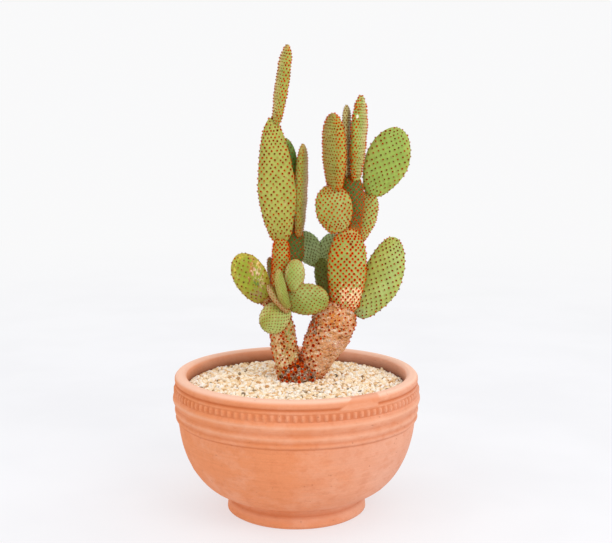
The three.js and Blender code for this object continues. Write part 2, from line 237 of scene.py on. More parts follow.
# The plant: base, tip, width, thickness, turn of the face to the right in degrees,
# how wide the base is and where the pad is widest as shares, bluntness of the tip, sideways bow
PAD_SHAPES = {
    "root_crown": ((0.003, 0.005, 0.11), (0.003, 0.005, 0.181), 0.047, 0.046, 0, 0.5, 0.72, 2.6, 0),
    "left_trunk": ((-0.009, 0.008, 0.157), (-0.026, 0.003, 0.259), 0.031, 0.028, 0, 0.9, 0.35, 3, 0.002),
    "right_trunk": ((0.0114, 0.008, 0.156), (0.0568, 0.002, 0.252), 0.051, 0.035, 0, 0.48, 0.7, 3, 0),
    "left_neck": ((-0.02, 0.002, 0.248), (-0.018, 0.001, 0.335), 0.021, 0.017, 0, 0.9, 0.5, 4, 0),
    "left_tall_pad": (
        (-0.0186, 0.001, 0.326), (-0.029, -0.002, 0.475), 0.046, 0.014, -10, 0.42, 0.42, 1.35, 0,
    ),
    "left_club_pad": (
        (-0.0238, -0.002, 0.466), (-0.0096, -0.008, 0.559), 0.027, 0.011, -65, 0.5, 0.5, 2.6, 0,
    ),
    "left_back_stem": ((-0.015, 0.015, 0.246), (0.001, 0.029, 0.341), 0.025, 0.014, 15, 0.6, 0.6, 3, 0),
    "left_back_pad": ((-0.0075, 0.031, 0.332), (-0.0148, 0.031, 0.4505), 0.031, 0.012, -10, 0.4, 0.6, 2.6, 0),
    "left_narrow_pad": ((0.003, 0.023, 0.331), (0.008, 0.018, 0.444), 0.028, 0.011, 68, 0.45, 0.5, 2.4, 0),
    "side_knob": ((-0.022, 0.004, 0.243), (-0.04, 0.002, 0.262), 0.017, 0.015, 0, 0.8, 0.5, 4, 0),
    "side_pad": ((-0.039, 0.001, 0.255), (-0.0694, -0.006, 0.3134), 0.042, 0.013, -5, 0.45, 0.52, 2, 0),
    "shaded_pad": ((-0.025, 0.012, 0.25), (-0.033, 0.027, 0.306), 0.016, 0.008, -70, 0.5, 0.6, 2.4, 0),
    "front_oval_pad": ((-0.013, -0.003, 0.2548), (0.038, -0.03, 0.2658), 0.038, 0.012, 0, 0.5, 0.52, 2.2, 0),
    "front_ear_pad": ((-0.002, -0.013, 0.268), (-0.001, -0.011, 0.308), 0.024, 0.009, 0, 0.4, 0.55, 2, 0),
    "front_round_pad": (
        (-0.011, -0.008, 0.251), (-0.0394, -0.029, 0.2268), 0.036, 0.011, 0, 0.5, 0.52, 2.1, 0,
    ),
    "front_edge_pad": (
        (-0.01, -0.012, 0.245), (-0.034, -0.026, 0.279), 0.018, 0.0095, 76, 0.5, 0.5, 2.4, -0.002,
    ),
    "front_curved_pad": (
        (-0.009, -0.012, 0.249), (-0.022, -0.027, 0.298), 0.021, 0.01, 68, 0.5, 0.5, 3, -0.006,
    ),
    "right_main_pad": ((0.059, 0.002, 0.243), (0.063, 0.001, 0.344), 0.046, 0.017, 5, 0.6, 0.52, 2.4, 0),
    "right_round_pad": ((0.0495, 0, 0.339), (0.0402, -0.008, 0.396), 0.044, 0.013, -5, 0.45, 0.5, 2, 0),
    "right_front_club": ((0.046, -0.007, 0.389), (0.043, -0.013, 0.48), 0.04, 0.014, -55, 0.5, 0.5, 2.6, 0),
    "right_wedge_pad": ((0.07, 0.004, 0.336), (0.065, 0.014, 0.406), 0.029, 0.013, 5, 0.35, 0.7, 2.6, 0),
    "right_slim_club": ((0.061, 0.019, 0.399), (0.06, 0.021, 0.49), 0.028, 0.01, 78, 0.5, 0.5, 2.4, 0),
    "right_tall_club": ((0.071, 0.01, 0.399), (0.077, 0.008, 0.501), 0.027, 0.011, 52, 0.45, 0.5, 2.4, 0),
    "right_back_oval": ((0.076, 0.008, 0.327), (0.088, 0.031, 0.386), 0.032, 0.012, -18, 0.35, 0.58, 2.2, 0),
    "right_top_pad": ((0.09, 0.027, 0.3815), (0.1248, 0.032, 0.462), 0.0535, 0.013, 5, 0.38, 0.52, 2, 0.002),
    "right_long_pad": (
        (0.0735, 0.012, 0.2345), (0.1215, 0.022, 0.33), 0.049, 0.014, -12, 0.42, 0.46, 2, 0.006,
    ),
    "rear_stem": ((0.047, 0.012, 0.24), (0.03, 0.047, 0.302), 0.02, 0.013, 0, 0.6, 0.6, 3, -0.004),
    "rear_left_ear": ((0.026, 0.045, 0.293), (0.002, 0.055, 0.333), 0.033, 0.011, 0, 0.35, 0.55, 2, 0),
    "rear_right_ear": ((0.034, 0.046, 0.293), (0.0516, 0.06, 0.331), 0.033, 0.011, 0, 0.35, 0.55, 2, 0),
}

# The areoles: how far one is from the next, how wide a tuft of glochids is, how much wider along the rim,
# the tuft's redness from 0, dark brown, to 1, bright rust, and how far apart the rows lie for their columns
AREOLES = {
    "root_crown": (0.0057, 0.0048, 1, 0.84, 1),
    "left_trunk": (0.006, 0.0035, 1, 0.86, 1),
    "right_trunk": (0.0062, 0.0032, 1.1, 0.82, 1),
    "left_neck": (0.0041, 0.0031, 1.1, 0.92, 1),
    "left_tall_pad": (0.0056, 0.0026, 1.15, 0.7, 1),
    "left_club_pad": (0.0041, 0.0017, 1.5, 0.6, 1.25),
    "left_back_stem": (0.0047, 0.0023, 1, 0.75, 1),
    "left_back_pad": (0.0048, 0.0015, 1.1, 0.4, 1),
    "left_narrow_pad": (0.0042, 0.0014, 1.6, 0.5, 1.2),
    "side_knob": (0.0042, 0.0029, 1, 0.75, 1),
    "side_pad": (0.0066, 0.0019, 1.1, 0.5, 1),
    "shaded_pad": (0.0042, 0.0019, 1, 0.75, 1),
    "front_oval_pad": (0.0046, 0.0017, 1.1, 0.66, 1),
    "front_ear_pad": (0.0037, 0.0013, 1.2, 0.7, 1),
    "front_round_pad": (0.0038, 0.0014, 1.1, 0.42, 1.1),
    "front_edge_pad": (0.0034, 0.0015, 1.1, 0.6, 1.2),
    "front_curved_pad": (0.0031, 0.0012, 1.1, 0.5, 1.2),
    "right_main_pad": (0.0051, 0.0036, 1, 0.97, 1),
    "right_round_pad": (0.0047, 0.0027, 1.05, 0.86, 1.12),
    "right_front_club": (0.0042, 0.0018, 1.6, 0.6, 1.28),
    "right_wedge_pad": (0.0044, 0.0026, 1.1, 0.92, 1),
    "right_slim_club": (0.0036, 0.0016, 1.2, 0.45, 1.15),
    "right_tall_club": (0.0039, 0.0017, 1.7, 0.6, 1.28),
    "right_back_oval": (0.0043, 0.0025, 1.05, 0.86, 1.1),
    "right_top_pad": (0.0061, 0.0022, 1.15, 0.58, 1),
    "right_long_pad": (0.006, 0.0023, 1.15, 0.56, 1),
    "rear_stem": (0.0044, 0.0018, 1, 0.3, 1),
    "rear_left_ear": (0.0042, 0.0016, 1, 0.2, 1),
    "rear_right_ear": (0.0042, 0.0016, 1, 0.2, 1),
}

# The pads' flesh, from young growth to old and dry skin. deep, shade, moss and umber are flesh darkened as
# painted shade for pads, bases and tips that lie in shade; bronze is a brown tip colour darkened with painted
# shade
SKIN_TONES = {
    "young": 0x98B050,
    "leaf": 0x9EB45C,
    "pale": 0xB0C074,
    "dusty": 0xAEC494,
    "lime": 0xB2B85C,
    "acid": 0xA0AA30,
    "olive": 0xA2A64C,
    "khaki": 0xAC9A52,
    "deep": 0x5C8632,
    "shade": 0x4A6A12,
    "moss": 0x6C7420,
    "umber": 0x4E4218,
    "bronze": 0x7A5826,
    "ochre": 0xB8863E,
    "gold": 0xC8AE48,
    "sand": 0xD0B272,
    "tan": 0xCC9C5E,
    "straw": 0xD2C690,
    "rose": 0xCCA88A,
    "cream": 0xDCD0AE,
}

# The stain that glochids leave round an areole
STAIN_TONES = {
    "rust": 0xD25E32,
    "copper": 0xB8662E,
    "amber": 0xC47A46,
    "sienna": 0x96803A,
    "russet": 0x9A321A,
    "dusk": 0x585820,
}

# Skin: left and right of the faces, base, tip, rim, the stain round each areole and how strong it is. Pads
# and parts of pads that lie in shade take the dark tones, which paint their shade
PAD_TONES = {
    "left_neck": ("olive", "leaf", "ochre", "olive", "tan", "rust", 0.8),
    "left_tall_pad": ("lime", "lime", "olive", "lime", "olive", "copper", 0.55),
    "left_club_pad": ("sand", "lime", "olive", "tan", "olive", "amber", 0.5),
    "left_back_stem": ("shade", "shade", "umber", "bronze", "shade", "russet", 0.7),
    "left_back_pad": ("deep", "deep", "shade", "olive", "deep", "dusk", 0.5),
    "left_narrow_pad": ("olive", "rose", "ochre", "sand", "lime", "amber", 0.55),
    "side_pad": ("acid", "acid", "ochre", "gold", "gold", "copper", 0.4),
    "shaded_pad": ("moss", "moss", "bronze", "bronze", "moss", "russet", 0.6),
    "front_oval_pad": ("pale", "leaf", "straw", "olive", "khaki", "copper", 0.5),
    "front_ear_pad": ("leaf", "pale", "khaki", "sand", "straw", "amber", 0.45),
    "front_round_pad": ("pale", "olive", "sand", "pale", "straw", "copper", 0.5),
    "front_edge_pad": ("khaki", "sand", "sand", "rose", "rose", "amber", 0.5),
    "front_curved_pad": ("leaf", "pale", "rose", "sand", "khaki", "copper", 0.5),
    "right_main_pad": ("leaf", "pale", "cream", "pale", "leaf", "rust", 0.85),
    "right_round_pad": ("leaf", "pale", "lime", "bronze", "olive", "rust", 0.7),
    "right_front_club": ("khaki", "olive", "olive", "khaki", "lime", "amber", 0.5),
    "right_wedge_pad": ("shade", "shade", "lime", "umber", "bronze", "russet", 0.8),
    "right_slim_club": ("straw", "khaki", "umber", "straw", "straw", "amber", 0.55),
    "right_tall_club": ("leaf", "straw", "leaf", "pale", "young", "amber", 0.45),
    "right_back_oval": ("pale", "leaf", "pale", "leaf", "pale", "rust", 0.6),
    "right_top_pad": ("young", "young", "young", "lime", "lime", "sienna", 0.42),
    "right_long_pad": ("lime", "pale", "dusty", "lime", "lime", "sienna", 0.42),
    "rear_stem": ("moss", "moss", "moss", "moss", "olive", "dusk", 0.5),
    "rear_left_ear": ("dusty", "dusty", "leaf", "dusty", "dusty", "dusk", 0.6),
    "rear_right_ear": ("dusty", "leaf", "olive", "dusty", "dusty", "dusk", 0.6),
}

# Bark: the blotches from dark to light, the base, the stain round each areole
# and how many pale flecks it has
BARK_TONES = {
    "root_crown": ((0x140F0B, 0x50341F, 0x96663A, 0x84766A, 0xE0D2BA), 0x3C2A1C, 0xA8440C, 0.8),
    "left_trunk": ((0x623C1E, 0xC07C3A, 0xDEB478, 0xACA45C, 0xEED2A0), 0xA87A48, 0xC85E20, 0.5),
    "right_trunk": ((0x6E4424, 0xCA864C, 0xE2AA76, 0xD09A74, 0xF4DCBA), 0xC2966A, 0xC4602A, 0.5),
    "side_knob": ((0x4E3420, 0xB07038, 0xD8A868, 0x9A8C4C, 0xE2BC8C), 0x7A5432, 0xB04A1A, 0.3),
}

# Scars and patches: their middle, their reach along X, Y and Z, their colour, how much of the skin
# they cover, and how large the tufts are there for the others; 0 leaves them out
SCARS = {
    "left_trunk": [
        ((-0.022, -0.012, 0.208), (0.0055, 0.02, 0.034), 0xF0D09A, 0.85, 1),
        ((-0.009, -0.012, 0.222), (0.007, 0.02, 0.026), 0x8C9E50, 0.72, 1),
        ((-0.012, -0.012, 0.197), (0.006, 0.02, 0.009), 0x9CA060, 0.6, 1),
        ((-0.016, -0.012, 0.184), (0.007, 0.02, 0.011), 0xF4E0B8, 0.85, 1),
        # A dark patch in the fork between the trunks, laid on each stem there: painted shade
        ((0.002, -0.008, 0.186), (0.007, 0.02, 0.015), 0x322B26, 0.62, 0.9),
        ((-0.004, -0.012, 0.17), (0.014, 0.02, 0.006), 0x6E4426, 0.5, 1),
    ],
    "right_trunk": [
        ((0.067, -0.005, 0.245), (0.008, 0.02, 0.008), 0xD5CABA, 0.7, 0),
        ((0.021, -0.01, 0.226), (0.01, 0.02, 0.017), 0x6C4C2E, 0.86, 1.1),
        ((0.02, -0.012, 0.206), (0.008, 0.02, 0.007), 0x9C9A6C, 0.5, 1.2),
        ((0.018, -0.01, 0.19), (0.01, 0.02, 0.014), 0xF2D4A8, 0.66, 1.25),
        # A dark patch in the fork between the trunks, laid on each stem there: painted shade
        ((0.007, -0.008, 0.178), (0.006, 0.02, 0.013), 0x322B26, 0.62, 0.9),
        ((0.046, -0.016, 0.235), (0.016, 0.02, 0.012), 0xE08C3A, 0.8, 0.9),
        ((0.049, -0.012, 0.203), (0.017, 0.03, 0.018), 0xD8A288, 0.6, 0),
        ((0.037, -0.012, 0.18), (0.012, 0.03, 0.013), 0xD2AE90, 0.6, 0),
        ((0.022, -0.01, 0.17), (0.012, 0.02, 0.005), 0x5A4638, 0.6, 0.9),
    ],
    "root_crown": [
        # A dark patch in the fork between the trunks, laid on each stem there: painted shade
        ((0.004, -0.018, 0.178), (0.012, 0.014, 0.008), 0x241C16, 0.6, 1),
        ((0.014, -0.018, 0.168), (0.008, 0.014, 0.008), 0xB4ACA0, 0.44, 0.8),
    ],
    "side_pad": [
        ((-0.067, -0.006, 0.308), (0.01, 0.012, 0.004), 0xD2BC3E, 0.7, 1),
        ((-0.073, -0.006, 0.295), (0.0035, 0.012, 0.014), 0xCFC04A, 0.7, 1),
        ((-0.061, -0.008, 0.286), (0.007, 0.012, 0.014), 0x7E9E2A, 0.5, 1),
        ((-0.0455, -0.006, 0.301), (0.004, 0.012, 0.01), 0xD8B048, 0.8, 0.8),
        ((-0.0525, -0.008, 0.296), (0.006, 0.012, 0.018), 0xB8702E, 0.8, 0.8),
        ((-0.048, -0.008, 0.291), (0.007, 0.012, 0.016), 0xE6CCA2, 0.7, 0.7),
        ((-0.0425, -0.006, 0.28), (0.005, 0.012, 0.014), 0xDEBE88, 0.8, 0.7),
        ((-0.0475, -0.006, 0.278), (0.006, 0.012, 0.006), 0x44702A, 0.8, 1),
        ((-0.055, -0.006, 0.281), (0.003, 0.012, 0.003), 0x9C5A26, 0.7, 1),
        ((-0.046, -0.006, 0.265), (0.009, 0.012, 0.008), 0xA4865A, 0.9, 1),
    ],
    "right_main_pad": [((0.067, -0.008, 0.262), (0.016, 0.02, 0.0105), 0xFADCAC, 1.1, 0.86)],
    "right_long_pad": [((0.0795, 0.008, 0.259), (0.007, 0.012, 0.009), 0xA0BE88, 0.6, 1)],
    "right_tall_club": [((0.0722, 0.002, 0.4766), (0.0013, 0.01, 0.0022), 0xF4EEDC, 1, 0)],
    "right_top_pad": [((0.099, 0.02, 0.44), (0.012, 0.012, 0.014), 0x9CBE5C, 0.4, 1)],
}

# Colours that a finish runs through, each with its place on the run
GLOCHID_STOPS = (0, 0.35, 0.7, 1)
GLOCHID_HEARTS = (0x2A2210, 0x4E1806, 0x861A04, 0xBA2806)
GLOCHID_EDGES = (0x4E4420, 0x9E541E, 0xD8621A, 0xFF7E1C)
BARK_STOPS = (0.38, 0.44, 0.5, 0.55, 0.61)
STONE_STOPS = (0, 0.012, 0.03, 0.1, 0.3, 0.55, 0.82, 1)
STONE_TONES = (0x7A6C5E, 0x9C8468, 0xCE9A64, 0xE9C290, 0xF6DDB6, 0xFBEBD2, 0xFEF7EA, 0xFAF2EA)
# Orange clay that turns pale on its right (+X) side: a painted sheen
SIDE_SHEEN_STOPS = (0, 0.5, 0.7, 1)
SIDE_SHEEN_TONES = (0xE48F5F, 0xE28E61, 0xE1936C, 0xE2A78E)

# The marks on the clay, how much of each shows and its colour: painted shade in the grooves and notches,
# crests rubbed pale with a painted highlight, pale bloom with a painted highlight on the lip top, and painted
# shade on the inner wall
CLAY_MARKS = (
    ("hollow", 0.8, 0xC0622E), ("ridge", 0.4, 0xF2BEA0),
    ("bloom", 0.75, 0xF8CDB6), ("damp", 0.92, 0x54260E),
)


# ---------------------------------------------------------------- shader wiring

def tone(code):
    """A colour written as 0xRRGGBB, as the shaders want it."""
    channels = [(code >> shift & 255) / 255 for shift in (16, 8, 0)]
    return tuple(c / 12.92 if c <= 0.04045 else ((c + 0.055) / 1.055) ** 2.4 for c in channels) + (1,)


class Wiring:
    """Adds shader nodes to a tree. A value may be a number, a colour or another node's output."""

    def __init__(self, tree):
        self.tree = tree

    def add(self, kind, values=(), **settings):
        node = self.tree.nodes.new(kind)
        for key, setting in settings.items():
            setattr(node, key, setting)
        for socket, value in dict(values).items():
            if isinstance(value, bpy.types.NodeSocket):
                self.tree.links.new(value, node.inputs[socket])
            else:
                node.inputs[socket].default_value = value
        return node

    def math(self, operation, *values):
        return self.add("ShaderNodeMath", enumerate(values), operation=operation).outputs[0]

    def vector(self, operation, *values):
        return self.add("ShaderNodeVectorMath", enumerate(values), operation=operation).outputs

    def mix(self, share, first, second, blend="MIX"):
        values = {0: share, 6: first, 7: second}
        return self.add("ShaderNodeMix", values, data_type="RGBA", blend_type=blend).outputs[2]

    def fade(self, value, start, end):
        """0 up to start and 1 from end on, smooth between them."""
        values = {"Value": value, "From Min": start, "From Max": end}
        return self.add("ShaderNodeMapRange", values, interpolation_type="SMOOTHSTEP").outputs[0]

    def scaled(self, value, by, plus):
        return self.math("MULTIPLY_ADD", value, by, plus)

    def lay(self, colour, mask, share, code):
        """Lays a colour over another where the mask says. share is how much of it shows at most."""
        return self.mix(self.math("MULTIPLY", mask, share), colour, tone(code))

    def shaded(self, colour, shade, share=1.0):
        return self.mix(share, colour, shade, "MULTIPLY")

    def noise(self, place, scale, detail, rough=0.5):
        values = {"Vector": place, "Scale": scale, "Detail": detail, "Roughness": rough}
        return self.add("ShaderNodeTexNoise", values).outputs["Fac"]

    def streaks(self, place, scales, detail, rough):
        """Noise with a scale of its own along X, Y and Z."""
        stretched = self.add("ShaderNodeMapping", {"Vector": place, "Scale": scales}).outputs[0]
        return self.noise(stretched, 1.0, detail, rough)

    def place(self):
        return self.add("ShaderNodeTexCoord").outputs["Object"]

    def ramp(self, value, stops, codes):
        node = self.add("ShaderNodeValToRGB", {0: value})
        while len(node.color_ramp.elements) < len(stops):
            node.color_ramp.elements.new(0.5)
        for element, stop, code in zip(node.color_ramp.elements, stops, codes):
            element.position = stop
            element.color = tone(code)
        return node.outputs[0]

    def group(self, group, **values):
        node = self.tree.nodes.new("ShaderNodeGroup")
        node.node_tree = group
        for label, value in values.items():
            socket = node.inputs[label.replace("_", " ")]
            if isinstance(value, bpy.types.NodeSocket):
                self.tree.links.new(value, socket)
            else:
                socket.default_value = value
        return node.outputs


def shader_group(name, inputs, outputs, wire):
    """A node group with named inputs and outputs. wire fills it and gives each output's value."""
    tree = bpy.data.node_groups.new(name, "ShaderNodeTree")
    for label, kind in inputs.items():
        tree.interface.new_socket(label, in_out="INPUT", socket_type="NodeSocket" + kind)
    for label, kind in outputs.items():
        tree.interface.new_socket(label, in_out="OUTPUT", socket_type="NodeSocket" + kind)
    entry = tree.nodes.new("NodeGroupInput")
    leave = tree.nodes.new("NodeGroupOutput")
    for label, value in wire(Wiring(tree), entry.outputs).items():
        tree.links.new(value, leave.inputs[label])
    return tree


def wire_mottle(w, given):
    cloud = w.noise(given["Place"], given["Scale"], detail=3, rough=0.55)
    return {"Color": w.mix(w.fade(cloud, start=0.34, end=0.66), given["Tone A"], given["Tone B"])}


def wire_grain(w, given):
    coarse = w.noise(given["Place"], given["Scale"], detail=4, rough=0.6)
    return {"Height": coarse, "Shade": w.scaled(coarse, by=0.3, plus=0.85)}


def wire_areole_halo(w, given):
    """Areoles lie on the whole numbers of the lattice and on the points halfway between them.

    Pitch says how far apart those are round the pad and along it, in areole spacings."""
    half = (0.5, 0.5, 0)
    gaps = []
    for lattice in (w.vector("ADD", given["Lattice"], half)[0], given["Lattice"]):
        cell = w.vector("FRACTION", lattice)[0]
        offset = w.vector("MULTIPLY", w.vector("SUBTRACT", cell, half)[0], given["Pitch"])[0]
        gaps.append(w.vector("LENGTH", offset)["Value"])
    return {"Mask": w.fade(w.math("MINIMUM", *gaps), start=given["Reach"], end=0.02)}


def wire_pad_zones(w, given):
    """The map's first number goes round a pad, its second from base to tip. The edges are ragged."""
    parts = w.add("ShaderNodeSeparateXYZ", {0: given["Map"]}).outputs
    around = w.math("COSINE", w.math("MULTIPLY", parts["X"], 2 * math.pi))
    ragged = w.math("SUBTRACT", w.noise(given["Place"], scale=130, detail=3, rough=0.6), 0.5)
    zones = {}
    for name, value, raggedness, start, end in (
        ("Rim", w.math("ABSOLUTE", around), 0.7, 0.72, 1.0),
        ("Side", around, 0.8, -0.8, 0.8),
        ("Base", parts["Y"], 0.3, 0.2, 0.05),
        ("Tip", parts["Y"], 0.3, 0.82, 0.98),
    ):
        zones[name] = w.fade(w.scaled(ragged, raggedness, value), start, end)
    return zones


def wire_scar(w, given):
    """A ragged patch round a place on the skin."""
    offset = w.vector("SUBTRACT", given["Place"], given["Middle"])[0]
    gap = w.vector("LENGTH", w.vector("DIVIDE", offset, given["Reach"])[0])["Value"]
    ragged = w.streaks(given["Place"], (430, 430, 250), detail=4, rough=0.65)
    bare = w.scaled(given["Cover"], by=-0.3, plus=w.scaled(gap, by=0.16, plus=0.66))
    return {"Mask": w.fade(w.math("SUBTRACT", ragged, bare), start=-0.03, end=0.05)}


MOTTLE = shader_group(
    "Mottle",
    {"Place": "Vector", "Scale": "Float", "Tone A": "Color", "Tone B": "Color"},
    {"Color": "Color"},
    wire_mottle,
)
GRAIN = shader_group(
    "Fine grain",
    {"Place": "Vector", "Scale": "Float"},
    {"Height": "Float", "Shade": "Float"},
    wire_grain,
)
AREOLE_HALO = shader_group(
    "Areole halo",
    {"Lattice": "Vector", "Pitch": "Vector", "Reach": "Float"},
    {"Mask": "Float"},
    wire_areole_halo,
)
PAD_ZONES = shader_group(
    "Pad zones",
    {"Map": "Vector", "Place": "Vector"},
    {"Rim": "Float", "Side": "Float", "Base": "Float", "Tip": "Float"},
    wire_pad_zones,
)
SCAR = shader_group(
    "Scar",
    {"Place": "Vector", "Middle": "Vector", "Reach": "Vector", "Cover": "Float"},
    {"Mask": "Float"},
    wire_scar,
)


def new_material(name, roughness, specular):
    material = bpy.data.materials.new(name)
    material.use_nodes = True
    shader = material.node_tree.nodes["Principled BSDF"]
    shader.inputs["Roughness"].default_value = roughness
    shader.inputs["Specular IOR Level"].default_value = specular
    return material, Wiring(material.node_tree), shader


def attribute(w, name):
    return w.add("ShaderNodeAttribute", (), attribute_name=name).outputs["Fac"]


def finish_material(w, shader, colour, height=None, distance=0.0, roughness=None):
    w.tree.links.new(colour, shader.inputs["Base Color"])
    if height is not None:
        bump = w.add("ShaderNodeBump", {"Height": height, "Distance": distance, "Strength": 1.0}).outputs[0]
        w.tree.links.new(bump, shader.inputs["Normal"])
    if roughness is not None:
        w.tree.links.new(roughness, shader.inputs["Roughness"])


# ---------------------------------------------------------------- finishes

def mottled(w, place, scale, *codes):
    first, second = (tone(code) for code in codes)
    return w.group(MOTTLE, Place=place, Scale=scale, Tone_A=first, Tone_B=second)["Color"]


def skin_maps(w):
    """The place on the object, the pad's zones and the lattice of its areoles."""
    place = w.place()
    pad_map, lattice = (w.add("ShaderNodeUVMap", (), uv_map=name).outputs[0] for name in ("UVMap", "areoles"))
    return place, w.group(PAD_ZONES, Map=pad_map, Place=place), lattice


def areole_halo(w, name, lattice, reach):
    """A mask round every areole. Where the rows lie far apart, the stains run together along a row."""
    row_gap = AREOLES[name][4]
    flatness = ROW_STAIN if row_gap > FAR_ROWS else 1
    pitch = (math.sqrt(2) / row_gap, math.sqrt(2) * row_gap * flatness, 0)
    return w.group(AREOLE_HALO, Lattice=lattice, Pitch=pitch, Reach=reach)["Mask"]


def scarred(w, name, place, colour):
    for middle, reach, code, cover, _ in SCARS.get(name, ()):
        mask = w.group(SCAR, Place=place, Middle=middle, Reach=reach, Cover=cover)["Mask"]
        colour = w.lay(colour, mask, 0.88, code)
    return colour


def make_pad_skin(name):
    """Waxy green skin: mottled faces, with their own rim, base and tip, and stained areoles."""
    *skin, stain_tone, stain_share = PAD_TONES[name]
    left, right, base, tip, rim = (SKIN_TONES[shade] for shade in skin)
    material, w, shader = new_material(name + " skin", roughness=0.5, specular=0.35)
    place, zones, lattice = skin_maps(w)
    colour = w.mix(zones["Side"], tone(left), tone(right))
    for zone, share, code in (("Rim", 0.6, rim), ("Base", 0.8, base), ("Tip", 0.7, tip)):
        colour = w.lay(colour, zones[zone], share, code)
    colour = w.shaded(colour, mottled(w, place, 60.0, 0xF4F6E4, 0xE2E6C8))
    blotches = w.fade(w.noise(place, scale=170, detail=3, rough=0.6), start=0.6, end=0.72)
    colour = w.lay(colour, blotches, share=0.3, code=0xC8BE84)
    colour = scarred(w, name, place, colour)
    stain = areole_halo(w, name, lattice, STAIN_REACH)
    colour = w.lay(colour, stain, stain_share, STAIN_TONES[stain_tone])
    grain = w.group(GRAIN, Place=place, Scale=900.0)
    colour = w.shaded(colour, grain["Shade"])
    swelling = areole_halo(w, name, lattice, SWELLING_REACH)
    colour = w.shaded(colour, w.scaled(swelling, by=-0.12, plus=1.08))
    height = w.scaled(swelling, by=0.55, plus=grain["Height"])
    roughness = w.scaled(grain["Height"], by=0.3, plus=0.38)
    finish_material(w, shader, colour, height, distance=0.0003, roughness=roughness)
    return material


def make_bark_skin(name):
    """Corky bark: blotches from dark to light, drawn out round the stem, with flecks and stains."""
    blotches, base, halo, fleck_share = BARK_TONES[name]
    material, w, shader = new_material(name + " bark", roughness=0.85, specular=0.2)
    place, zones, lattice = skin_maps(w)
    bands = w.streaks(place, (90, 90, 190), detail=6, rough=0.72)
    colour = w.ramp(bands, BARK_STOPS, blotches)
    colour = w.lay(colour, zones["Base"], share=0.5, code=base)
    colour = scarred(w, name, place, colour)
    colour = w.lay(colour, areole_halo(w, name, lattice, STAIN_REACH), share=0.4, code=halo)
    cracks = w.fade(w.streaks(place, (420, 420, 640), detail=3, rough=0.6), start=0.44, end=0.35)
    colour = w.lay(colour, cracks, share=0.65, code=0x4A2E1C)
    flecks = w.fade(w.noise(place, scale=560, detail=2), start=0.6, end=0.68)
    colour = w.lay(colour, flecks, fleck_share, code=0xF4EEE0)
    grain = w.group(GRAIN, Place=place, Scale=700.0)
    colour = w.shaded(colour, grain["Shade"])
    height = w.scaled(bands, by=2.2, plus=grain["Height"])
    finish_material(w, shader, colour, height, distance=0.0006)
    return material


def make_glochids():
    """Rusty bristles: a tuft has its own redness, and is darkest in its middle and orange at its edge."""
    material, w, shader = new_material("glochids", roughness=0.8, specular=0.0)
    redness = attribute(w, "shade")
    heart = w.ramp(redness, GLOCHID_STOPS, GLOCHID_HEARTS)
    edge = w.ramp(redness, GLOCHID_STOPS, GLOCHID_EDGES)
    colour = w.mix(w.fade(attribute(w, "reach"), start=0.24, end=0.5), heart, edge)
    finish_material(w, shader, w.shaded(colour, w.group(GRAIN, Place=w.place(), Scale=1400.0)["Shade"]))
    return material


def make_stone():
    """Crushed pale stone: each chip has its own shade, from a few dark ones to cream and ivory."""
    material, w, shader = new_material("pale stone", roughness=0.8, specular=0.3)
    place = w.place()
    grain = w.group(GRAIN, Place=place, Scale=1100.0)
    colour = w.shaded(w.ramp(attribute(w, "shade"), STONE_STOPS, STONE_TONES), grain["Shade"])
    veins = w.fade(w.noise(place, scale=420, detail=2), start=0.62, end=0.7)
    colour = w.lay(colour, veins, share=0.3, code=0xDDA86A)
    finish_material(w, shader, colour, grain["Height"], distance=0.0003)
    return material


def make_grit():
    material, w, shader = new_material("stone grit", roughness=0.95, specular=0.2)
    place = w.place()
    grain = w.group(GRAIN, Place=place, Scale=900.0)
    colour = w.shaded(mottled(w, place, 300.0, 0x9A7B55, 0xCDAE80), grain["Shade"])
    finish_material(w, shader, colour, grain["Height"], distance=0.001)
    return material


def make_potting_mix():
    material, w, shader = new_material("potting mix", roughness=0.95, specular=0.15)
    place = w.place()
    pumice = w.fade(w.noise(place, scale=330, detail=1), start=0.68, end=0.74)
    colour = w.lay(mottled(w, place, 160.0, 0x3B2A1E, 0x5E4632), pumice, share=0.7, code=0xC9BCA4)
    grain = w.group(GRAIN, Place=place, Scale=600.0)
    finish_material(w, shader, colour, grain["Height"], distance=0.0015)
    return material


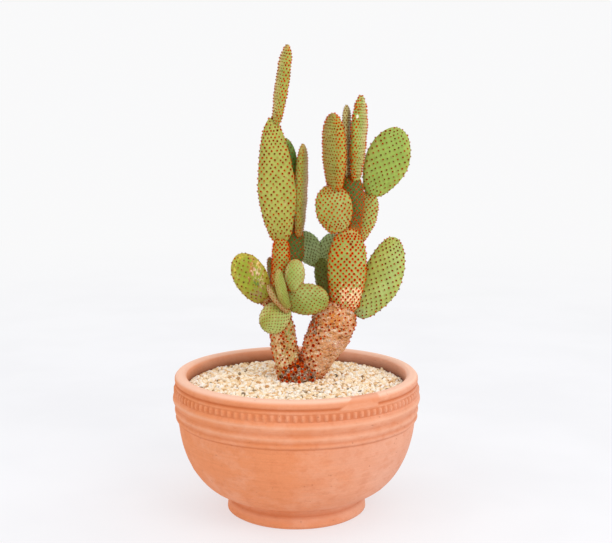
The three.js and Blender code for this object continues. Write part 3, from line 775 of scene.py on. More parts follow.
def make_terracotta():
    """Unglazed clay thrown on a wheel: turning lines, pits, a painted sheen on its right side and painted
    shade in its grooves and hollows.
    """
    material, w, shader = new_material("terracotta", roughness=0.85, specular=0.25)
    place = w.place()
    parts = w.add("ShaderNodeSeparateXYZ", {0: place}).outputs
    # Painted sheen: the clay turns pale towards its right (+X) side, with a cloudy, ragged edge.
    cloudy = w.math("SUBTRACT", w.noise(place, scale=9, detail=3, rough=0.55), 0.5)
    side_sheen = w.scaled(w.scaled(cloudy, by=0.2, plus=parts["X"]), by=3.3, plus=0.5)
    colour = w.ramp(side_sheen, SIDE_SHEEN_STOPS, SIDE_SHEEN_TONES)
    rubbed = w.fade(w.streaks(place, (20, 20, 30), detail=6, rough=0.7), start=0.42, end=0.72)
    colour = w.lay(colour, rubbed, share=0.42, code=0xEDB194)
    dark = w.fade(w.streaks(place, (70, 70, 110), detail=5, rough=0.65), start=0.52, end=0.34)
    colour = w.lay(colour, dark, share=0.26, code=0xCE7446)
    turning = w.streaks(place, (14, 14, 900), detail=3, rough=0.6)
    colour = w.shaded(colour, w.scaled(turning, by=0.36, plus=0.82), share=0.55)
    speckle = w.group(GRAIN, Place=place, Scale=520.0)
    colour = w.shaded(colour, speckle["Shade"], share=0.5)
    pits = w.fade(w.noise(place, scale=260, detail=1), start=0.75, end=0.79)
    colour = w.lay(colour, pits, share=0.4, code=0xA65C38)
    # Painted shade in grooves, notches and on the inner wall; bloom and wear with a painted highlight on the
    # lip top and crests.
    for mark, share, code in CLAY_MARKS:
        colour = w.lay(colour, attribute(w, mark), share, code)
    brushed = w.streaks(place, (50, 50, 260), detail=4, rough=0.6)
    mend = w.fade(w.scaled(brushed, by=1.2, plus=attribute(w, "patch")), start=0.85, end=1.35)
    upper = w.fade(w.scaled(brushed, by=0.012, plus=parts["Z"]), start=0.163, end=0.174)
    strokes = w.mix(upper, tone(0xF0AE8C), tone(0xDA8256))
    colour = w.mix(w.math("MULTIPLY", mend, 0.55), colour, strokes)
    height = w.scaled(pits, by=-1.5, plus=w.scaled(turning, by=0.8, plus=speckle["Height"]))
    finish_material(w, shader, colour, height, distance=0.0004)
    return material


# ---------------------------------------------------------------- modelling

def start_clean():
    if bpy.context.object and bpy.context.object.mode != "OBJECT":
        bpy.ops.object.mode_set(mode="OBJECT")
    bpy.ops.object.select_all(action="DESELECT")


def points_of(mesh, attribute_name="co"):
    found = np.empty(len(mesh.vertices) * 3)
    mesh.vertices.foreach_get(attribute_name, found)
    return found.reshape(-1, 3)


def move_points(mesh, points):
    mesh.vertices.foreach_set("co", np.ascontiguousarray(points, dtype=np.float32).ravel())
    mesh.update()


def write_shade(mesh, name, values):
    layer = mesh.attributes.new(name, "FLOAT", "POINT")
    layer.data.foreach_set("value", np.ascontiguousarray(values, dtype=np.float32))


def corners_of(mesh, turn, at_pole):
    """Each face corner's vertex and its turn, carried past 1 where a face crosses the seam."""
    vertex = np.empty(len(mesh.loops), dtype=np.int64)
    mesh.loops.foreach_get("vertex_index", vertex)
    start = np.empty(len(mesh.polygons), dtype=np.int64)
    mesh.polygons.foreach_get("loop_start", start)
    face = np.repeat(np.arange(len(start)), np.diff(np.append(start, len(vertex))))
    round_turn = turn[vertex]
    pole = at_pole[vertex]
    highest = np.maximum.reduceat(np.where(pole, -1, round_turn), start)[face]
    round_turn = np.where(round_turn < highest - 0.5, round_turn + 1, round_turn)
    others = np.where(pole, 0, round_turn)
    mean = (np.add.reduceat(others, start) / np.add.reduceat(~pole, start))[face]
    return vertex, np.where(pole, mean, round_turn)


def write_map(mesh, name, corner_u, corner_v):
    layer = mesh.uv_layers.get(name) or mesh.uv_layers.new(name=name)
    layer.uv.foreach_set("vector", np.stack([corner_u, corner_v], 1).astype(np.float32).ravel())


def wrapped_skin(name, around, along, place, lattice=None):
    """A closed skin carried by a ball's rings. place gets each point's turn and rise, from 0 to 1."""
    start_clean()
    bpy.ops.mesh.primitive_uv_sphere_add(segments=around, ring_count=along, radius=1)
    skin = bpy.context.active_object
    skin.name = name
    mesh = skin.data
    x, y, z = points_of(mesh).T
    turn = np.round(np.arctan2(y, x) / (2 * np.pi) * around) % around / around
    rise = np.round(np.arccos(np.clip(-z, -1, 1)) / np.pi * along) / along
    move_points(mesh, place(turn, rise))
    vertex, corner_turn = corners_of(mesh, turn, (rise == 0) | (rise == 1))
    write_map(mesh, "UVMap", corner_turn, rise[vertex])
    if lattice:
        write_map(mesh, "areoles", corner_turn * lattice[0], rise[vertex] * lattice[1])
    bpy.ops.object.shade_smooth()
    return skin


def swell(points, size, seed):
    """A smooth random rise and fall, mostly between -1 and 1, with humps about this far apart."""
    draw = np.random.default_rng(seed)
    waves = draw.normal(size=(WAVES, 3))
    waves *= (2 * np.pi / size * draw.uniform(0.6, 1.3, WAVES) / np.linalg.norm(waves, axis=1))[:, None]
    return np.sin(points @ waves.T + draw.uniform(0, 2 * np.pi, WAVES)).sum(1) / 4


def humps(points, height, size, seed):
    return height * swell(points, size, seed)


def wear(piece, material):
    piece.data.materials.append(material)


def stamped(name, patterns, picks, places, axes, shades):
    """Copies of a few small shapes as one mesh. axes holds each copy's three scaled axes as rows."""
    points, faces, shade, reach = [], [], [], []
    count = 0
    for index, pattern in enumerate(patterns):
        chosen = picks == index
        copies = np.einsum("vi,nij->nvj", pattern.points, axes[chosen]) + places[chosen][:, None]
        size = len(pattern.points)
        starts = count + size * np.arange(len(copies))
        points.append(copies.reshape(-1, 3))
        faces.append((pattern.faces[None] + starts[:, None, None]).reshape(-1, 3))
        shade.append(np.repeat(shades[chosen], size))
        reach.append(np.tile(pattern.reach, len(copies)))
        count += size * len(copies)
    mesh = bpy.data.meshes.new(name)
    mesh.from_pydata(np.concatenate(points), [], np.concatenate(faces))
    write_shade(mesh, "shade", np.concatenate(shade))
    write_shade(mesh, "reach", np.concatenate(reach))
    piece = bpy.data.objects.new(name, mesh)
    bpy.context.scene.collection.objects.link(piece)
    return piece


def taken_apart(shape):
    """A small shape's points, triangles and each point's reach from its middle, kept to be stamped."""
    start_clean()
    shape.select_set(True)
    bpy.context.view_layer.objects.active = shape
    bpy.ops.object.mode_set(mode="EDIT")
    bpy.ops.mesh.select_all(action="SELECT")
    bpy.ops.mesh.quads_convert_to_tris()
    bpy.ops.object.mode_set(mode="OBJECT")
    points = points_of(shape.data)
    faces = np.array([polygon.vertices[:] for polygon in shape.data.polygons])
    bpy.data.objects.remove(shape)
    return SimpleNamespace(points=points, faces=faces, reach=np.hypot(points[:, 0], points[:, 1]))


def turned_axes(ups, spins, sizes):
    """Axes whose third one points along each of ups, spun about it and scaled."""
    helper = np.where(np.abs(ups[:, 2:]) < 0.9, [[0, 0, 1]], [[1, 0, 0]])
    first = np.cross(helper, ups)
    first /= np.linalg.norm(first, axis=1)[:, None]
    second = np.cross(ups, first)
    cosine, sine = np.cos(spins)[:, None], np.sin(spins)[:, None]
    axes = np.stack([first * cosine + second * sine, second * cosine - first * sine, ups], 1)
    return axes * sizes[:, :, None]


# ---------------------------------------------------------------- the plant

def outline(pad, share, neck, bluntness):
    """How wide a pad is at a share of its length: from its neck it swells to full and closes at the tip.

    A green pad's base is drawn in to a rounded heel, and a stem's stays open."""
    swelling = neck + (1 - neck) * np.sin(np.pi / 2 * np.minimum(share / pad.widest, 1))
    if pad.name not in BARK_TONES:
        below_heel = 1 - np.clip(share / HEEL_RISE, 0, 1)
        swelling = swelling * (HEEL_WIDTH + (1 - HEEL_WIDTH) * np.sqrt(1 - below_heel**2))
    beyond = np.clip((share - pad.widest) / (1 - pad.widest), 0, 1)
    return np.where(share <= pad.widest, swelling, np.sqrt(1 - beyond**bluntness))


def fuller(value):
    return np.sign(value) * np.abs(value) ** RIM_FULLNESS


def run_along(*coordinates):
    """Lengths along a curve from its start, and the whole length."""
    steps = np.sqrt(sum(np.diff(c) ** 2 for c in coordinates))
    run = np.append(0, np.cumsum(steps))
    return run / run[-1], run[-1]


def describe_pad(name):
    base, tip, width, thickness, turn, neck, widest, bluntness, bow = PAD_SHAPES[name]
    root = Vector(base)
    reach = Vector(tip) - root
    axis = reach.normalized()
    face = Vector((0, -1, 0))
    face = (face - axis * face.dot(axis)).normalized()
    face.rotate(Quaternion(axis, math.radians(turn)))
    pad = SimpleNamespace(
        name=name, root=np.array(root), reach=np.array(reach), axis=np.array(axis), face=np.array(face),
        side=np.array(axis.cross(face)), half_width=width / 2, half_depth=thickness / 2,
        neck=neck, widest=widest, bluntness=bluntness, bow=bow,
    )
    pad.spacing, pad.tuft, pad.rim_growth, pad.redness, pad.row_gap = AREOLES[name]
    pad.angles = np.linspace(0, 2 * np.pi, MEASURE_POINTS)
    across = pad.half_width * fuller(np.cos(pad.angles))
    pad.turns, pad.girth = run_along(across, pad.half_depth * fuller(np.sin(pad.angles)))
    pad.shares = (1 - np.cos(np.linspace(0, np.pi, MEASURE_POINTS))) / 2
    pad.rises, pad.length = run_along(
        reach.length * pad.shares, pad.half_width * outline(pad, pad.shares, neck, bluntness)
    )
    return pad


def half_sizes(pad, share):
    """Half a pad's width and half its depth at a share of its length."""
    width = pad.half_width * outline(pad, share, pad.neck, pad.bluntness)
    depth = pad.half_depth * outline(pad, share, (1 + pad.neck) / 2, pad.bluntness + 1)
    return width, depth


def pad_point(pad, share, angle):
    width, depth = half_sizes(pad, share)
    across = width * fuller(np.cos(angle)) + pad.bow * np.sin(np.pi * share)
    points = pad.root + np.outer(share, pad.reach) + np.outer(across, pad.side)
    return points - np.outer(depth * fuller(np.sin(angle)), pad.face)


def pad_normal(pad, share, angle):
    point = pad_point(pad, share, angle)
    round_step = pad_point(pad, share, angle + NORMAL_STEP) - point
    normal = np.cross(pad_point(pad, share - NORMAL_STEP, angle) - point, round_step)
    return normal / np.maximum(np.linalg.norm(normal, axis=1), 1e-12)[:, None]


def relief(pad, points):
    """How far the skin stands out: green pads are gently uneven, and bark is wrinkled across the stem."""
    seed = len(pad.name) + int(1000 * pad.half_width)
    if pad.name not in BARK_TONES:
        return humps(points, *GREEN_HUMPS, seed)
    wrinkles = -np.abs(humps(points * WRINKLE_SQUEEZE, *BARK_WRINKLES, seed))
    return wrinkles + humps(points, *BARK_HUMPS, seed + 1) + BARK_SWELL


def skin_point(pad, share, angle):
    points = pad_point(pad, share, angle)
    closing = np.clip((1 - share) / END_SHARE, 0, 1) * np.clip(share / END_SHARE, 0, 1)
    normals = pad_normal(pad, np.clip(share, END_MARGIN, 1 - END_MARGIN), angle)
    return points + normals * (closing * relief(pad, points))[:, None], normals


def held_by(pad, points):
    """Which points lie inside a pad, well below its skin."""
    offset = points - pad.root
    share = offset @ pad.axis / np.linalg.norm(pad.reach)
    inside = np.clip(share, 0, 1)
    width, depth = half_sizes(pad, inside)
    across = np.abs(offset @ pad.side - pad.bow * np.sin(np.pi * inside)) / (width + 1e-6)
    deep = np.abs(offset @ pad.face) / (depth + 1e-6)
    power = 2 / RIM_FULLNESS
    return (share > 0) & (share < 1) & (across**power + deep**power < WELL_INSIDE)


def lattice_of(pad):
    """How many areoles go round the pad in a row, and how many rows it has."""
    columns = max(LEAST_AREOLES, round(pad.girth / (pad.spacing * math.sqrt(2) / pad.row_gap)))
    rows = max(LEAST_AREOLES, round(pad.length / (pad.spacing / math.sqrt(2) * pad.row_gap)))
    return columns, rows


def make_skin(pad):
    around = max(LEAST_ROUND, 4 * round(pad.girth / FACE_ROUND / 4))
    along = max(LEAST_ALONG, round(pad.length / FACE_ALONG))

    def place(turn, rise):
        even = np.maximum(rise * along - 1, 0) / (along - 1)
        share = np.interp(even, pad.rises, pad.shares)
        angle = np.interp(turn, pad.turns, pad.angles)
        points = skin_point(pad, share, angle)[0]
        points[rise == 0] = pad.root
        return points

    columns, rows = lattice_of(pad)
    return wrapped_skin(pad.name, around, along, place, (columns, rows / 2))


def areoles_of(pad, others, draw):
    """Where the areoles are and how they face, without crowded ones and those inside another pad."""
    columns, rows = lattice_of(pad)
    column, row = np.meshgrid(np.arange(columns), np.arange(1, rows))
    column, row = column.ravel(), row.ravel()
    looseness = BARK_LOOSENESS if pad.name in BARK_TONES else 1
    turn = (column + row % 2 / 2 + draw.normal(0, STRAY_ROUND * looseness, len(row))) / columns % 1
    strayed = (row + draw.normal(0, STRAY_ALONG * looseness, len(row))) / rows
    rise = np.clip(strayed, END_MARGIN, 1 - END_MARGIN)
    share = np.interp(rise, pad.rises, pad.shares)
    points, normals = skin_point(pad, share, np.interp(turn, pad.turns, pad.angles))
    free = np.ones(len(points), dtype=bool)
    for other in others:
        if other is not pad:
            free &= ~held_by(other, points)
    kept = []
    for index in np.flatnonzero(free):
        gaps = np.linalg.norm(points[kept] - points[index], axis=1)
        if len(kept) == 0 or gaps.min() > CROWDED * pad.spacing:
            kept.append(index)
    return points[kept], normals[kept], np.abs(np.cos(2 * np.pi * turn[kept]))


def make_brush():
    """One tuft of glochids, a unit wide: a low cushion with short bristles leaning out of it."""
    start_clean()
    draw = np.random.default_rng(5)
    bpy.ops.mesh.primitive_ico_sphere_add(subdivisions=1, radius=CUSHION_RADIUS, location=(0, 0, 0.05))
    cushion = bpy.context.active_object
    bpy.ops.transform.resize(value=(1, 1, 0.75))
    parts = [cushion]
    for i in range(BRISTLES):
        lean = 0.15 + 0.8 * (i / (BRISTLES - 1)) ** 0.7
        heading = BRISTLE_TURN * i + draw.uniform(-0.2, 0.2)
        length = draw.uniform(*BRISTLE_LENGTHS)
        tilt = Quaternion((-math.sin(heading), math.cos(heading), 0), lean)
        bpy.ops.mesh.primitive_cone_add(
            vertices=3, radius1=0.1, depth=length, end_fill_type="NOTHING",
            location=tilt @ Vector((0, 0, BRISTLE_ROOT + length / 2)), rotation=tilt.to_euler(),
        )
        parts.append(bpy.context.active_object)
    start_clean()
    for part in parts:
        part.select_set(True)
    bpy.context.view_layer.objects.active = cushion
    bpy.ops.object.join()
    bpy.ops.object.transform_apply(location=True, rotation=True, scale=True)
    return taken_apart(cushion)


def make_tufts(pad, others, brush, glochids):
    draw = np.random.default_rng(100 + list(PAD_SHAPES).index(pad.name))
    points, normals, rimwards = areoles_of(pad, others, draw)
    number = len(points)
    rim = np.clip((rimwards - RIM_FROM) / RIM_FADE, 0, 1)
    growth = pad.rim_growth - 1
    ups = normals + draw.normal(0, TUFT_LEAN, (number, 3))
    ups /= np.linalg.norm(ups, axis=1)[:, None]
    sizes = pad.tuft * draw.uniform(*TUFT_SIZES, number) * (1 + growth * rim)
    for middle, reach, _, _, scar_growth in SCARS.get(pad.name, ()):
        sizes *= np.where(np.linalg.norm((points - middle) / reach, axis=1) < 1, scar_growth, 1)
    grown = sizes > 0
    heights = sizes * draw.uniform(*TUFT_HEIGHTS, number)
    axes = turned_axes(ups, draw.uniform(0, 2 * np.pi, number), np.stack([sizes, sizes, heights], 1))
    spread = CROWN_SPREAD if pad.name == "root_crown" else REDNESS_SPREAD
    shades = np.clip(pad.redness + RIM_REDNESS * growth * rim + draw.normal(0, spread, number), 0, 1)
    picks = np.zeros(grown.sum(), int)
    tufts = stamped(pad.name + "_glochids", [brush], picks, points[grown], axes[grown], shades[grown])
    move_points(tufts.data, np.clip(points_of(tufts.data), *CAD_BOUNDS))
    wear(tufts, glochids)
    return tufts


def joined(first, second):
    """Makes one piece of two, each keeping its material."""
    start_clean()
    second.select_set(True)
    first.select_set(True)
    bpy.context.view_layer.objects.active = first
    bpy.ops.object.join()
    return first


def check_against_frame(pad):
    """The pad table repeats the model's own, so each skin must fill its node's box."""
    low, high = (np.array(corner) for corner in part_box(pad.name))
    share, angle = np.meshgrid(np.linspace(0, 1, 40), np.linspace(0, 2 * np.pi, 40))
    points = pad_point(pad, share.ravel(), angle.ravel())
    assert (low > points.min(0) - BOX_TOLERANCE).all(), pad.name
    assert (high < points.max(0) + BOX_TOLERANCE).all(), pad.name
    assert (np.abs(high - points.max(0)) < BOX_TOLERANCE).sum() >= 2, pad.name


# ---------------------------------------------------------------- the bowl and what fills it

def arc_points(arc, start, end, count):
    """Points of an ellipse's quarter between two heights."""
    low, high = (math.asin(min(1, (arc.middle - height) / arc.down)) for height in (start, end))
    angle = np.linspace(low, high, count)
    return list(zip(arc.reach + arc.across * np.cos(angle), arc.middle - arc.down * np.sin(angle)))


def rounded_profile(points):
    """A profile sampled finely, with its corners rounded as wet clay leaves them."""
    radius, height = np.array(points).T
    run = np.append(0, np.cumsum(np.hypot(np.diff(radius), np.diff(height))))
    fine = np.arange(0, run[-1], PROFILE_STEP)
    steps = np.arange(-ROUNDING_STEPS, ROUNDING_STEPS + 1)
    kernel = np.exp(-0.5 * (steps * PROFILE_STEP / PROFILE_ROUNDING) ** 2)
    kernel /= kernel.sum()

    def rounded(values):
        padded = np.pad(np.interp(fine, run, values), ROUNDING_STEPS, mode="edge")
        return np.convolve(padded, kernel, "valid")

    radius, height = rounded(radius), rounded(height)
    radius[[0, -1]] = 0
    return fine, radius, height, run


def bowl_profile():
    """The bowl's profile from under its foot to its inner floor, at each ring of its skin."""
    belly = arc_points(BELLY, BELLY_FOOT, BELLY_HEAD, BELLY_POINTS)
    hollow = arc_points(HOLLOW, HOLLOW.middle, HOLLOW_FOOT, HOLLOW_POINTS)
    band = [(BEAD_GROUND, BEAD_FOOT), (BEAD_GROUND, BEAD_HEAD)]
    above_gravel = hollow[:HOLLOW_POINTS_ABOVE]
    below_gravel = hollow[HOLLOW_POINTS_ABOVE:] + INNER_FLOOR
    stretches_and_rings = [
        (DRAIN_HOLE, 4), (FOOT, 22), (belly, 18), (RIDGES, 24), (band, 12),
        (LIP_GROOVE + LIP, 22), (above_gravel, 5), (below_gravel, 5),
    ]
    points = [point for stretch, _ in stretches_and_rings for point in stretch]
    fine, radius, height, run = rounded_profile(points)
    rings = []
    start = 0.0
    passed = 0
    for stretch, count in stretches_and_rings:
        passed += len(stretch)
        end = run[passed - 1]
        rings += list(np.linspace(start, end, count, endpoint=False))
        start = end
    rings.append(fine[-1])
    return np.interp(rings, fine, radius), np.interp(rings, fine, height)


def bead_relief(turn, height, beads):
    """Rounded lumps in a row, each a little different, with notches as wide as the lumps between them."""
    number = turn * BEAD_COUNT + 0.5
    phase = np.abs(number % 1 - 0.5) * 2
    lump = 1 - smooth_step(phase, BEAD_TOP, BEAD_NOTCH)
    drift = beads[number.astype(int) % BEAD_COUNT]
    middle = (BEAD_FOOT + BEAD_HEAD) / 2 + BEAD_DRIFT * drift
    upright = np.clip(1 - (np.abs(height - middle) / (0.5 * (BEAD_HEAD - BEAD_FOOT))) ** 3, 0, 1)
    return BEAD_RELIEF * upright * lump * (1 + BEAD_CHANGE * drift)


def smooth_step(value, start, end):
    share = np.clip((value - start) / (end - start), 0, 1)
    return share**2 * (3 - 2 * share)


def lines_at(height, lines):
    """Lines round the bowl, each with how strong it is, its height and its width."""
    return sum(strength * np.exp(-((height - level) / width) ** 2) for strength, level, width in lines)


def inside_patch(angle, height):
    """How many degrees a point lies inside the mend. Both of its ends are ragged."""
    heading = np.degrees(np.arctan2(np.sin(angle), np.cos(angle))) + 90
    ragged = PATCH_RAGGED * swell(np.stack([height * 60, heading * 0.05, heading * 0], 1), 3.0, 31)
    start = PATCH_FROM + (height - PATCH_MIDDLE) * PATCH_SLANT
    return np.minimum(heading + ragged - start, PATCH_TO - heading + ragged)


def clay_relief(turn, radius, height, filled, beads):
    """How far the clay stands out of its profile: beads, scored lines, the mend and the hand's unevenness."""
    angle = 2 * np.pi * turn
    flat = np.stack([np.cos(angle), np.sin(angle), height * 9], 1)
    rippled = np.stack([flat[:, 0], flat[:, 1], height * 120], 1)
    lack = PATCH_RADIUS - radius + humps(flat, *PATCH_HUMPS)
    mend = filled * np.clip(lack, 0, PATCH_DEPTH)
    uneven = humps(flat, *CLAY_HUMPS) + humps(rippled, *CLAY_RIPPLES)
    return bead_relief(turn, height, beads) - lines_at(height, SCORED_LINES) + mend + uneven


def clay_marks(radius, height, inward, filled, beyond_foot, outside, inside):
    """Where the clay is mended, darkened by painted shade in its grooves and on its inner wall, or pale where
    bloom and wear meet a painted highlight on the lip and crests, each from 0 to 1.
    """
    beaded = (height > BEAD_FOOT) & (height < BEAD_HEAD)
    # Painted shade in the notches between the beads, in the lip groove where no mend fills it and along the
    # grooves.
    notch = np.clip((BEAD_GROUND + NOTCH_FLOOR - radius) / NOTCH_FADE, 0, 1) * beaded
    hollow = 0.75 * notch + lines_at(height, [LIP_GROOVE_SHADE]) * (1 - filled) + lines_at(height, GROOVE_SHADE_LINES)
    on_lip = smooth_step(height, *PATCH_TONE_RISE) * (radius > PATCH_INSIDE)
    return {
        "patch": np.clip(inward / PATCH_TONE_FADE + 0.5, 0, 1) * on_lip,
        "hollow": np.clip(hollow * outside + lines_at(height, FOOT_GROOVE_SHADE_LINES) * beyond_foot, 0, 1),
        # Pale bloom with a painted highlight on the lip top.
        "bloom": smooth_step(height, *LIP_BLOOM_AND_HIGHLIGHT_RISE) * (radius > LIP_BLOOM_AND_HIGHLIGHT_INSIDE),
        # Painted shade on the inner wall below the lip.
        "damp": smooth_step(-height, *INNER_WALL_SHADE_FALL) * inside,
        # Crests rubbed pale, with a painted highlight.
        "ridge": np.clip(lines_at(height, PALE_LINES), 0, 1) * beyond_foot,
    }


def make_bowl(terracotta):
    ring_radius, ring_height = bowl_profile()
    along = len(ring_radius) - 1
    lip_ring = np.argmax(ring_height)
    beads = np.random.default_rng(8).uniform(-1, 1, BEAD_COUNT)
    marks = {}

    def place(turn, rise):
        ring = np.round(rise * along).astype(int)
        radius, height = ring_radius[ring], ring_height[ring]
        angle = 2 * np.pi * turn
        beyond_foot = (ring < lip_ring) & (radius > FOOT_REACH)
        outside = beyond_foot & (height > FOOT_TOP)
        # The inner wall above this height takes painted shade.
        inside = (ring > lip_ring) & (height > INNER_WALL_SHADE_FLOOR)
        inward = inside_patch(angle, height)
        filled = np.clip(inward / PATCH_FADE, 0, 1) * smooth_step(height, *PATCH_RISE)
        filled *= 1 - smooth_step(height, *PATCH_TOP)
        radius = radius + np.where(outside, clay_relief(turn, radius, height, filled, beads), 0)
        radius = np.minimum(radius, CAD_BOUNDS[1][0])
        marks.update(clay_marks(radius, height, inward, filled, beyond_foot, outside, inside))
        return np.stack([radius * np.cos(angle), radius * np.sin(angle), height], 1)

    bowl = wrapped_skin("beaded_bowl", BOWL_SEGMENTS, along, place)
    for name, values in marks.items():
        write_shade(bowl.data, name, values)
    wear(bowl, terracotta)
    return bowl


def mound(x, y):
    """How high the gravel lies: the dressing's low dome, with part of the model's own rise and fall."""
    dome = GRAVEL_CROWN + (GRAVEL_EDGE - GRAVEL_CROWN) * (np.hypot(x, y) / GRAVEL_REACH) ** 2
    hits = [GRAVEL_SURFACE.ray_cast((a, b, 1), (0, 0, -1))[0] for a, b in zip(x, y)]
    known = np.array([np.nan if hit is None else hit.z for hit in hits])
    step = np.where(np.abs(known - dome) < GRAVEL_STRAY, known - dome, 0)
    return dome + GRAVEL_SHARE * step


def make_filling(name, profile, around, material, crumb_size, crumb_height, fit=None):
    """A closed turned lump whose upper side is crumbly."""
    radius, height = np.array(profile).T

    def place(turn, rise):
        angle = 2 * np.pi * turn
        corner = rise * (len(radius) - 1)
        reach = np.interp(corner, np.arange(len(radius)), radius)
        level = np.interp(corner, np.arange(len(radius)), height)
        points = np.stack([reach * np.cos(angle), reach * np.sin(angle), level], 1)
        top = level > height.max() - CRUMB_DEPTH
        points[:, 2] += np.where(top, humps(points, crumb_height, crumb_size, 21), 0)
        return points if fit is None else fit(points, top)

    lump = wrapped_skin(name, around, len(radius) - 1, place)
    wear(lump, material)
    return lump


def make_soil(potting_mix):
    walls = arc_points(HOLLOW, HOLLOW_FOOT, HOLLOW.middle, 8)
    inset = [(max(0, r - 0.0007), z + 0.0004) for r, z in INNER_FLOOR[::-1] + walls]
    edge = inset[-1][0]
    top = [(edge * share, SOIL_TOP) for share in np.linspace(1, 0, 30)]
    return make_filling("potting_mix", inset + top, 120, potting_mix, crumb_size=0.006, crumb_height=0.0006)


def make_gravel_bed(grit):
    edge = HOLLOW.reach + HOLLOW.across - 0.0008
    bottom = [(0, SOIL_TOP + 0.001), (edge, SOIL_TOP + 0.001)]
    top = [(edge * share, GRAVEL_CROWN) for share in np.linspace(1, 0, 60)]

    def fit(points, top):
        points[top, 2] += mound(points[top, 0], points[top, 1]) - BED_SINK - GRAVEL_CROWN
        return points

    return make_filling("gravel_bed", bottom + top, 160, grit, crumb_size=0.007, crumb_height=0.0005, fit=fit)


def add_bevelled_block():
    bpy.ops.mesh.primitive_cube_add(size=1)
    bpy.ops.object.mode_set(mode="EDIT")
    bpy.ops.mesh.select_all(action="SELECT")
    bpy.ops.mesh.bevel(offset=0.27, segments=1, affect="EDGES")
    bpy.ops.object.mode_set(mode="OBJECT")


def add_plain_lump():
    bpy.ops.mesh.primitive_ico_sphere_add(subdivisions=1, radius=0.58)


def make_chips(add_shape):
    """Crushed stones: a simple shape with its corners knocked about, each about a unit across."""
    chips = []
    for seed in range(CHIP_KINDS):
        start_clean()
        add_shape()
        chip = bpy.context.active_object
        draw = np.random.default_rng(CHIP_SEED + seed)
        points = points_of(chip.data)
        points += draw.normal(0, CHIP_KNOCKS, points.shape)
        skew = np.eye(3) + draw.normal(0, CHIP_SKEW, (3, 3))
        move_points(chip.data, points @ skew)
        chips.append(taken_apart(chip))
    return chips


def lay_stones(name, chips, stone, seed, pitch, sink, size, stems):
    """One layer of stones over the mound, on a jittered grid, clear of the bowl and of the stems."""
    draw = np.random.default_rng(seed)
    steps = np.arange(-GRAVEL_REACH, GRAVEL_REACH, pitch)
    x, y = np.meshgrid(steps, np.arange(-GRAVEL_REACH, GRAVEL_REACH, pitch * STONE_ROW_SHARE))
    x = x + pitch / 2 * (np.arange(len(x)) % 2)[:, None]
    x, y = (c.ravel() + draw.normal(0, STONE_DRIFT * pitch, c.size) for c in (x, y))
    radius = np.hypot(x, y)
    x, y = (c[radius < GRAVEL_REACH] for c in (x, y))
    number = len(x)
    z = mound(x, y) - sink + draw.normal(0, STONE_LIFT, number)
    points = np.stack([x, y, z], 1)
    free = np.ones(number, dtype=bool)
    for stem in stems:
        free &= ~held_by(stem, points)
    ups = draw.normal(0, STONE_TILT, (number, 3)) + (0, 0, STONE_UPRIGHT)
    ups /= np.linalg.norm(ups, axis=1)[:, None]
    across = size * draw.lognormal(0, STONE_SPREAD, number)
    breadth = across * draw.uniform(*STONE_BREADTHS, number)
    height = across * draw.uniform(*STONE_HEIGHTS, number)
    axes = turned_axes(ups, draw.uniform(0, 2 * np.pi, number), np.stack([across, breadth, height], 1))
    shades = draw.uniform(0, 1, number)
    picks = draw.integers(0, len(chips), number)
    stones = stamped(name, chips, picks[free], points[free], axes[free], shades[free])
    wear(stones, stone)
    return stones


# ---------------------------------------------------------------- studio

def set_up_camera():
    bpy.ops.object.camera_add(location=CAMERA_PLACE, rotation=(math.radians(90 - CAMERA_PITCH), 0, 0))
    camera = bpy.context.active_object
    camera.data.sensor_width = SENSOR_WIDTH
    camera.data.lens = LENS
    bpy.context.scene.camera = camera


def add_softbox(name, place, aim, size, power, colour):
    bpy.ops.object.light_add(type="AREA", location=place)
    light = bpy.context.active_object
    light.name = name
    light.data.shape = "DISK"
    light.data.size = size
    light.data.energy = power
    light.data.color = colour
    light.rotation_euler = (Vector(aim) - Vector(place)).to_track_quat("-Z", "Y").to_euler()


def make_floor():
    """A wide pale floor, faintly cloudy, that glows a little and passes into the backdrop far away."""
    start_clean()
    bpy.ops.mesh.primitive_circle_add(vertices=96, radius=FLOOR_RADIUS, fill_type="NGON", location=(0, 0, 0))
    floor = bpy.context.active_object
    floor.name = "floor"
    material, w, shader = new_material("pale floor", roughness=0.9, specular=0.0)
    place = w.place()
    far = w.fade(w.vector("LENGTH", place)["Value"], *FLOOR_FADE)
    near = w.group(MOTTLE, Place=place, Scale=3.0, Tone_A=FLOOR_TONES[0], Tone_B=FLOOR_TONES[1])["Color"]
    shader.inputs["Emission Strength"].default_value = 1.0
    w.tree.links.new(w.mix(far, FLOOR_GLOW, BACKDROP), shader.inputs["Emission Color"])
    finish_material(w, shader, w.mix(far, near, (0, 0, 0, 1)))
    wear(floor, material)


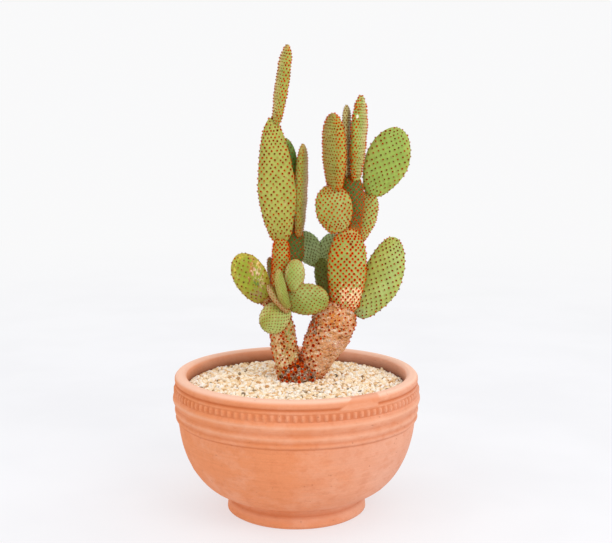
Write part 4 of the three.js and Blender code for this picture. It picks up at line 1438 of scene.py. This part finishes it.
def set_up_studio():
    scene = bpy.context.scene
    scene.view_settings.view_transform = "Standard"
    world = bpy.data.worlds.new("white studio")
    world.use_nodes = True
    background = world.node_tree.nodes["Background"]
    background.inputs["Color"].default_value = BACKDROP
    background.inputs["Strength"].default_value = 1.0
    scene.world = world
    warm = (1, 0.98, 0.95)
    cool = (0.95, 0.97, 1)
    add_softbox("key", place=(1.2, -1.4, 1.3), aim=(0, 0, 0.2), size=1.4, power=14, colour=warm)
    add_softbox("fill", place=(-1.4, -1.0, 1.1), aim=(0, 0, 0.25), size=1.2, power=2.5, colour=cool)
    make_floor()


# ---------------------------------------------------------------- assembly

set_up_camera()
set_up_studio()

glochids = make_glochids()
stone = make_stone()

GRAVEL_MESH = frame["nodes"]["gravel"].data
GRAVEL_SURFACE = BVHTree.FromPolygons(
    [vertex.co[:] for vertex in GRAVEL_MESH.vertices], [face.vertices[:] for face in GRAVEL_MESH.polygons]
)
SLOTS = {entry["node"]: entry["material_slot"] for entry in frame["record"]["subparts"]}


def hand_in(piece, slot, *nodes):
    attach(piece, "root")
    if nodes:
        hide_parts(*nodes)


hand_in(make_bowl(make_terracotta()), SLOTS["bowl"], "bowl")
hand_in(make_soil(make_potting_mix()), SLOTS["soil"], "soil")

pads = [describe_pad(name) for name in PAD_SHAPES]
stems = [pad for pad in pads if pad.name in ("root_crown", "left_trunk", "right_trunk")]
hand_in(make_gravel_bed(make_grit()), SLOTS["gravel"], "gravel")
for name, add_shape, seed, pitch, sink, size in (
    ("lower_stones", add_plain_lump, 61, STONE_PITCH * 1.1, 0.0018, STONE_SIZE * 1.05),
    ("upper_stones", add_bevelled_block, 62, STONE_PITCH, 0.0003, STONE_SIZE),
):
    chips = make_chips(add_shape)
    hand_in(lay_stones(name, chips, stone, seed, pitch, sink, size, stems), SLOTS["gravel"])

brush = make_brush()
for pad in pads:
    check_against_frame(pad)
    skin = make_skin(pad)
    wear(skin, make_bark_skin(pad.name) if pad.name in BARK_TONES else make_pad_skin(pad.name))
    tufts = make_tufts(pad, pads, brush, glochids)
    hand_in(joined(skin, tufts), SLOTS[pad.name], pad.name)
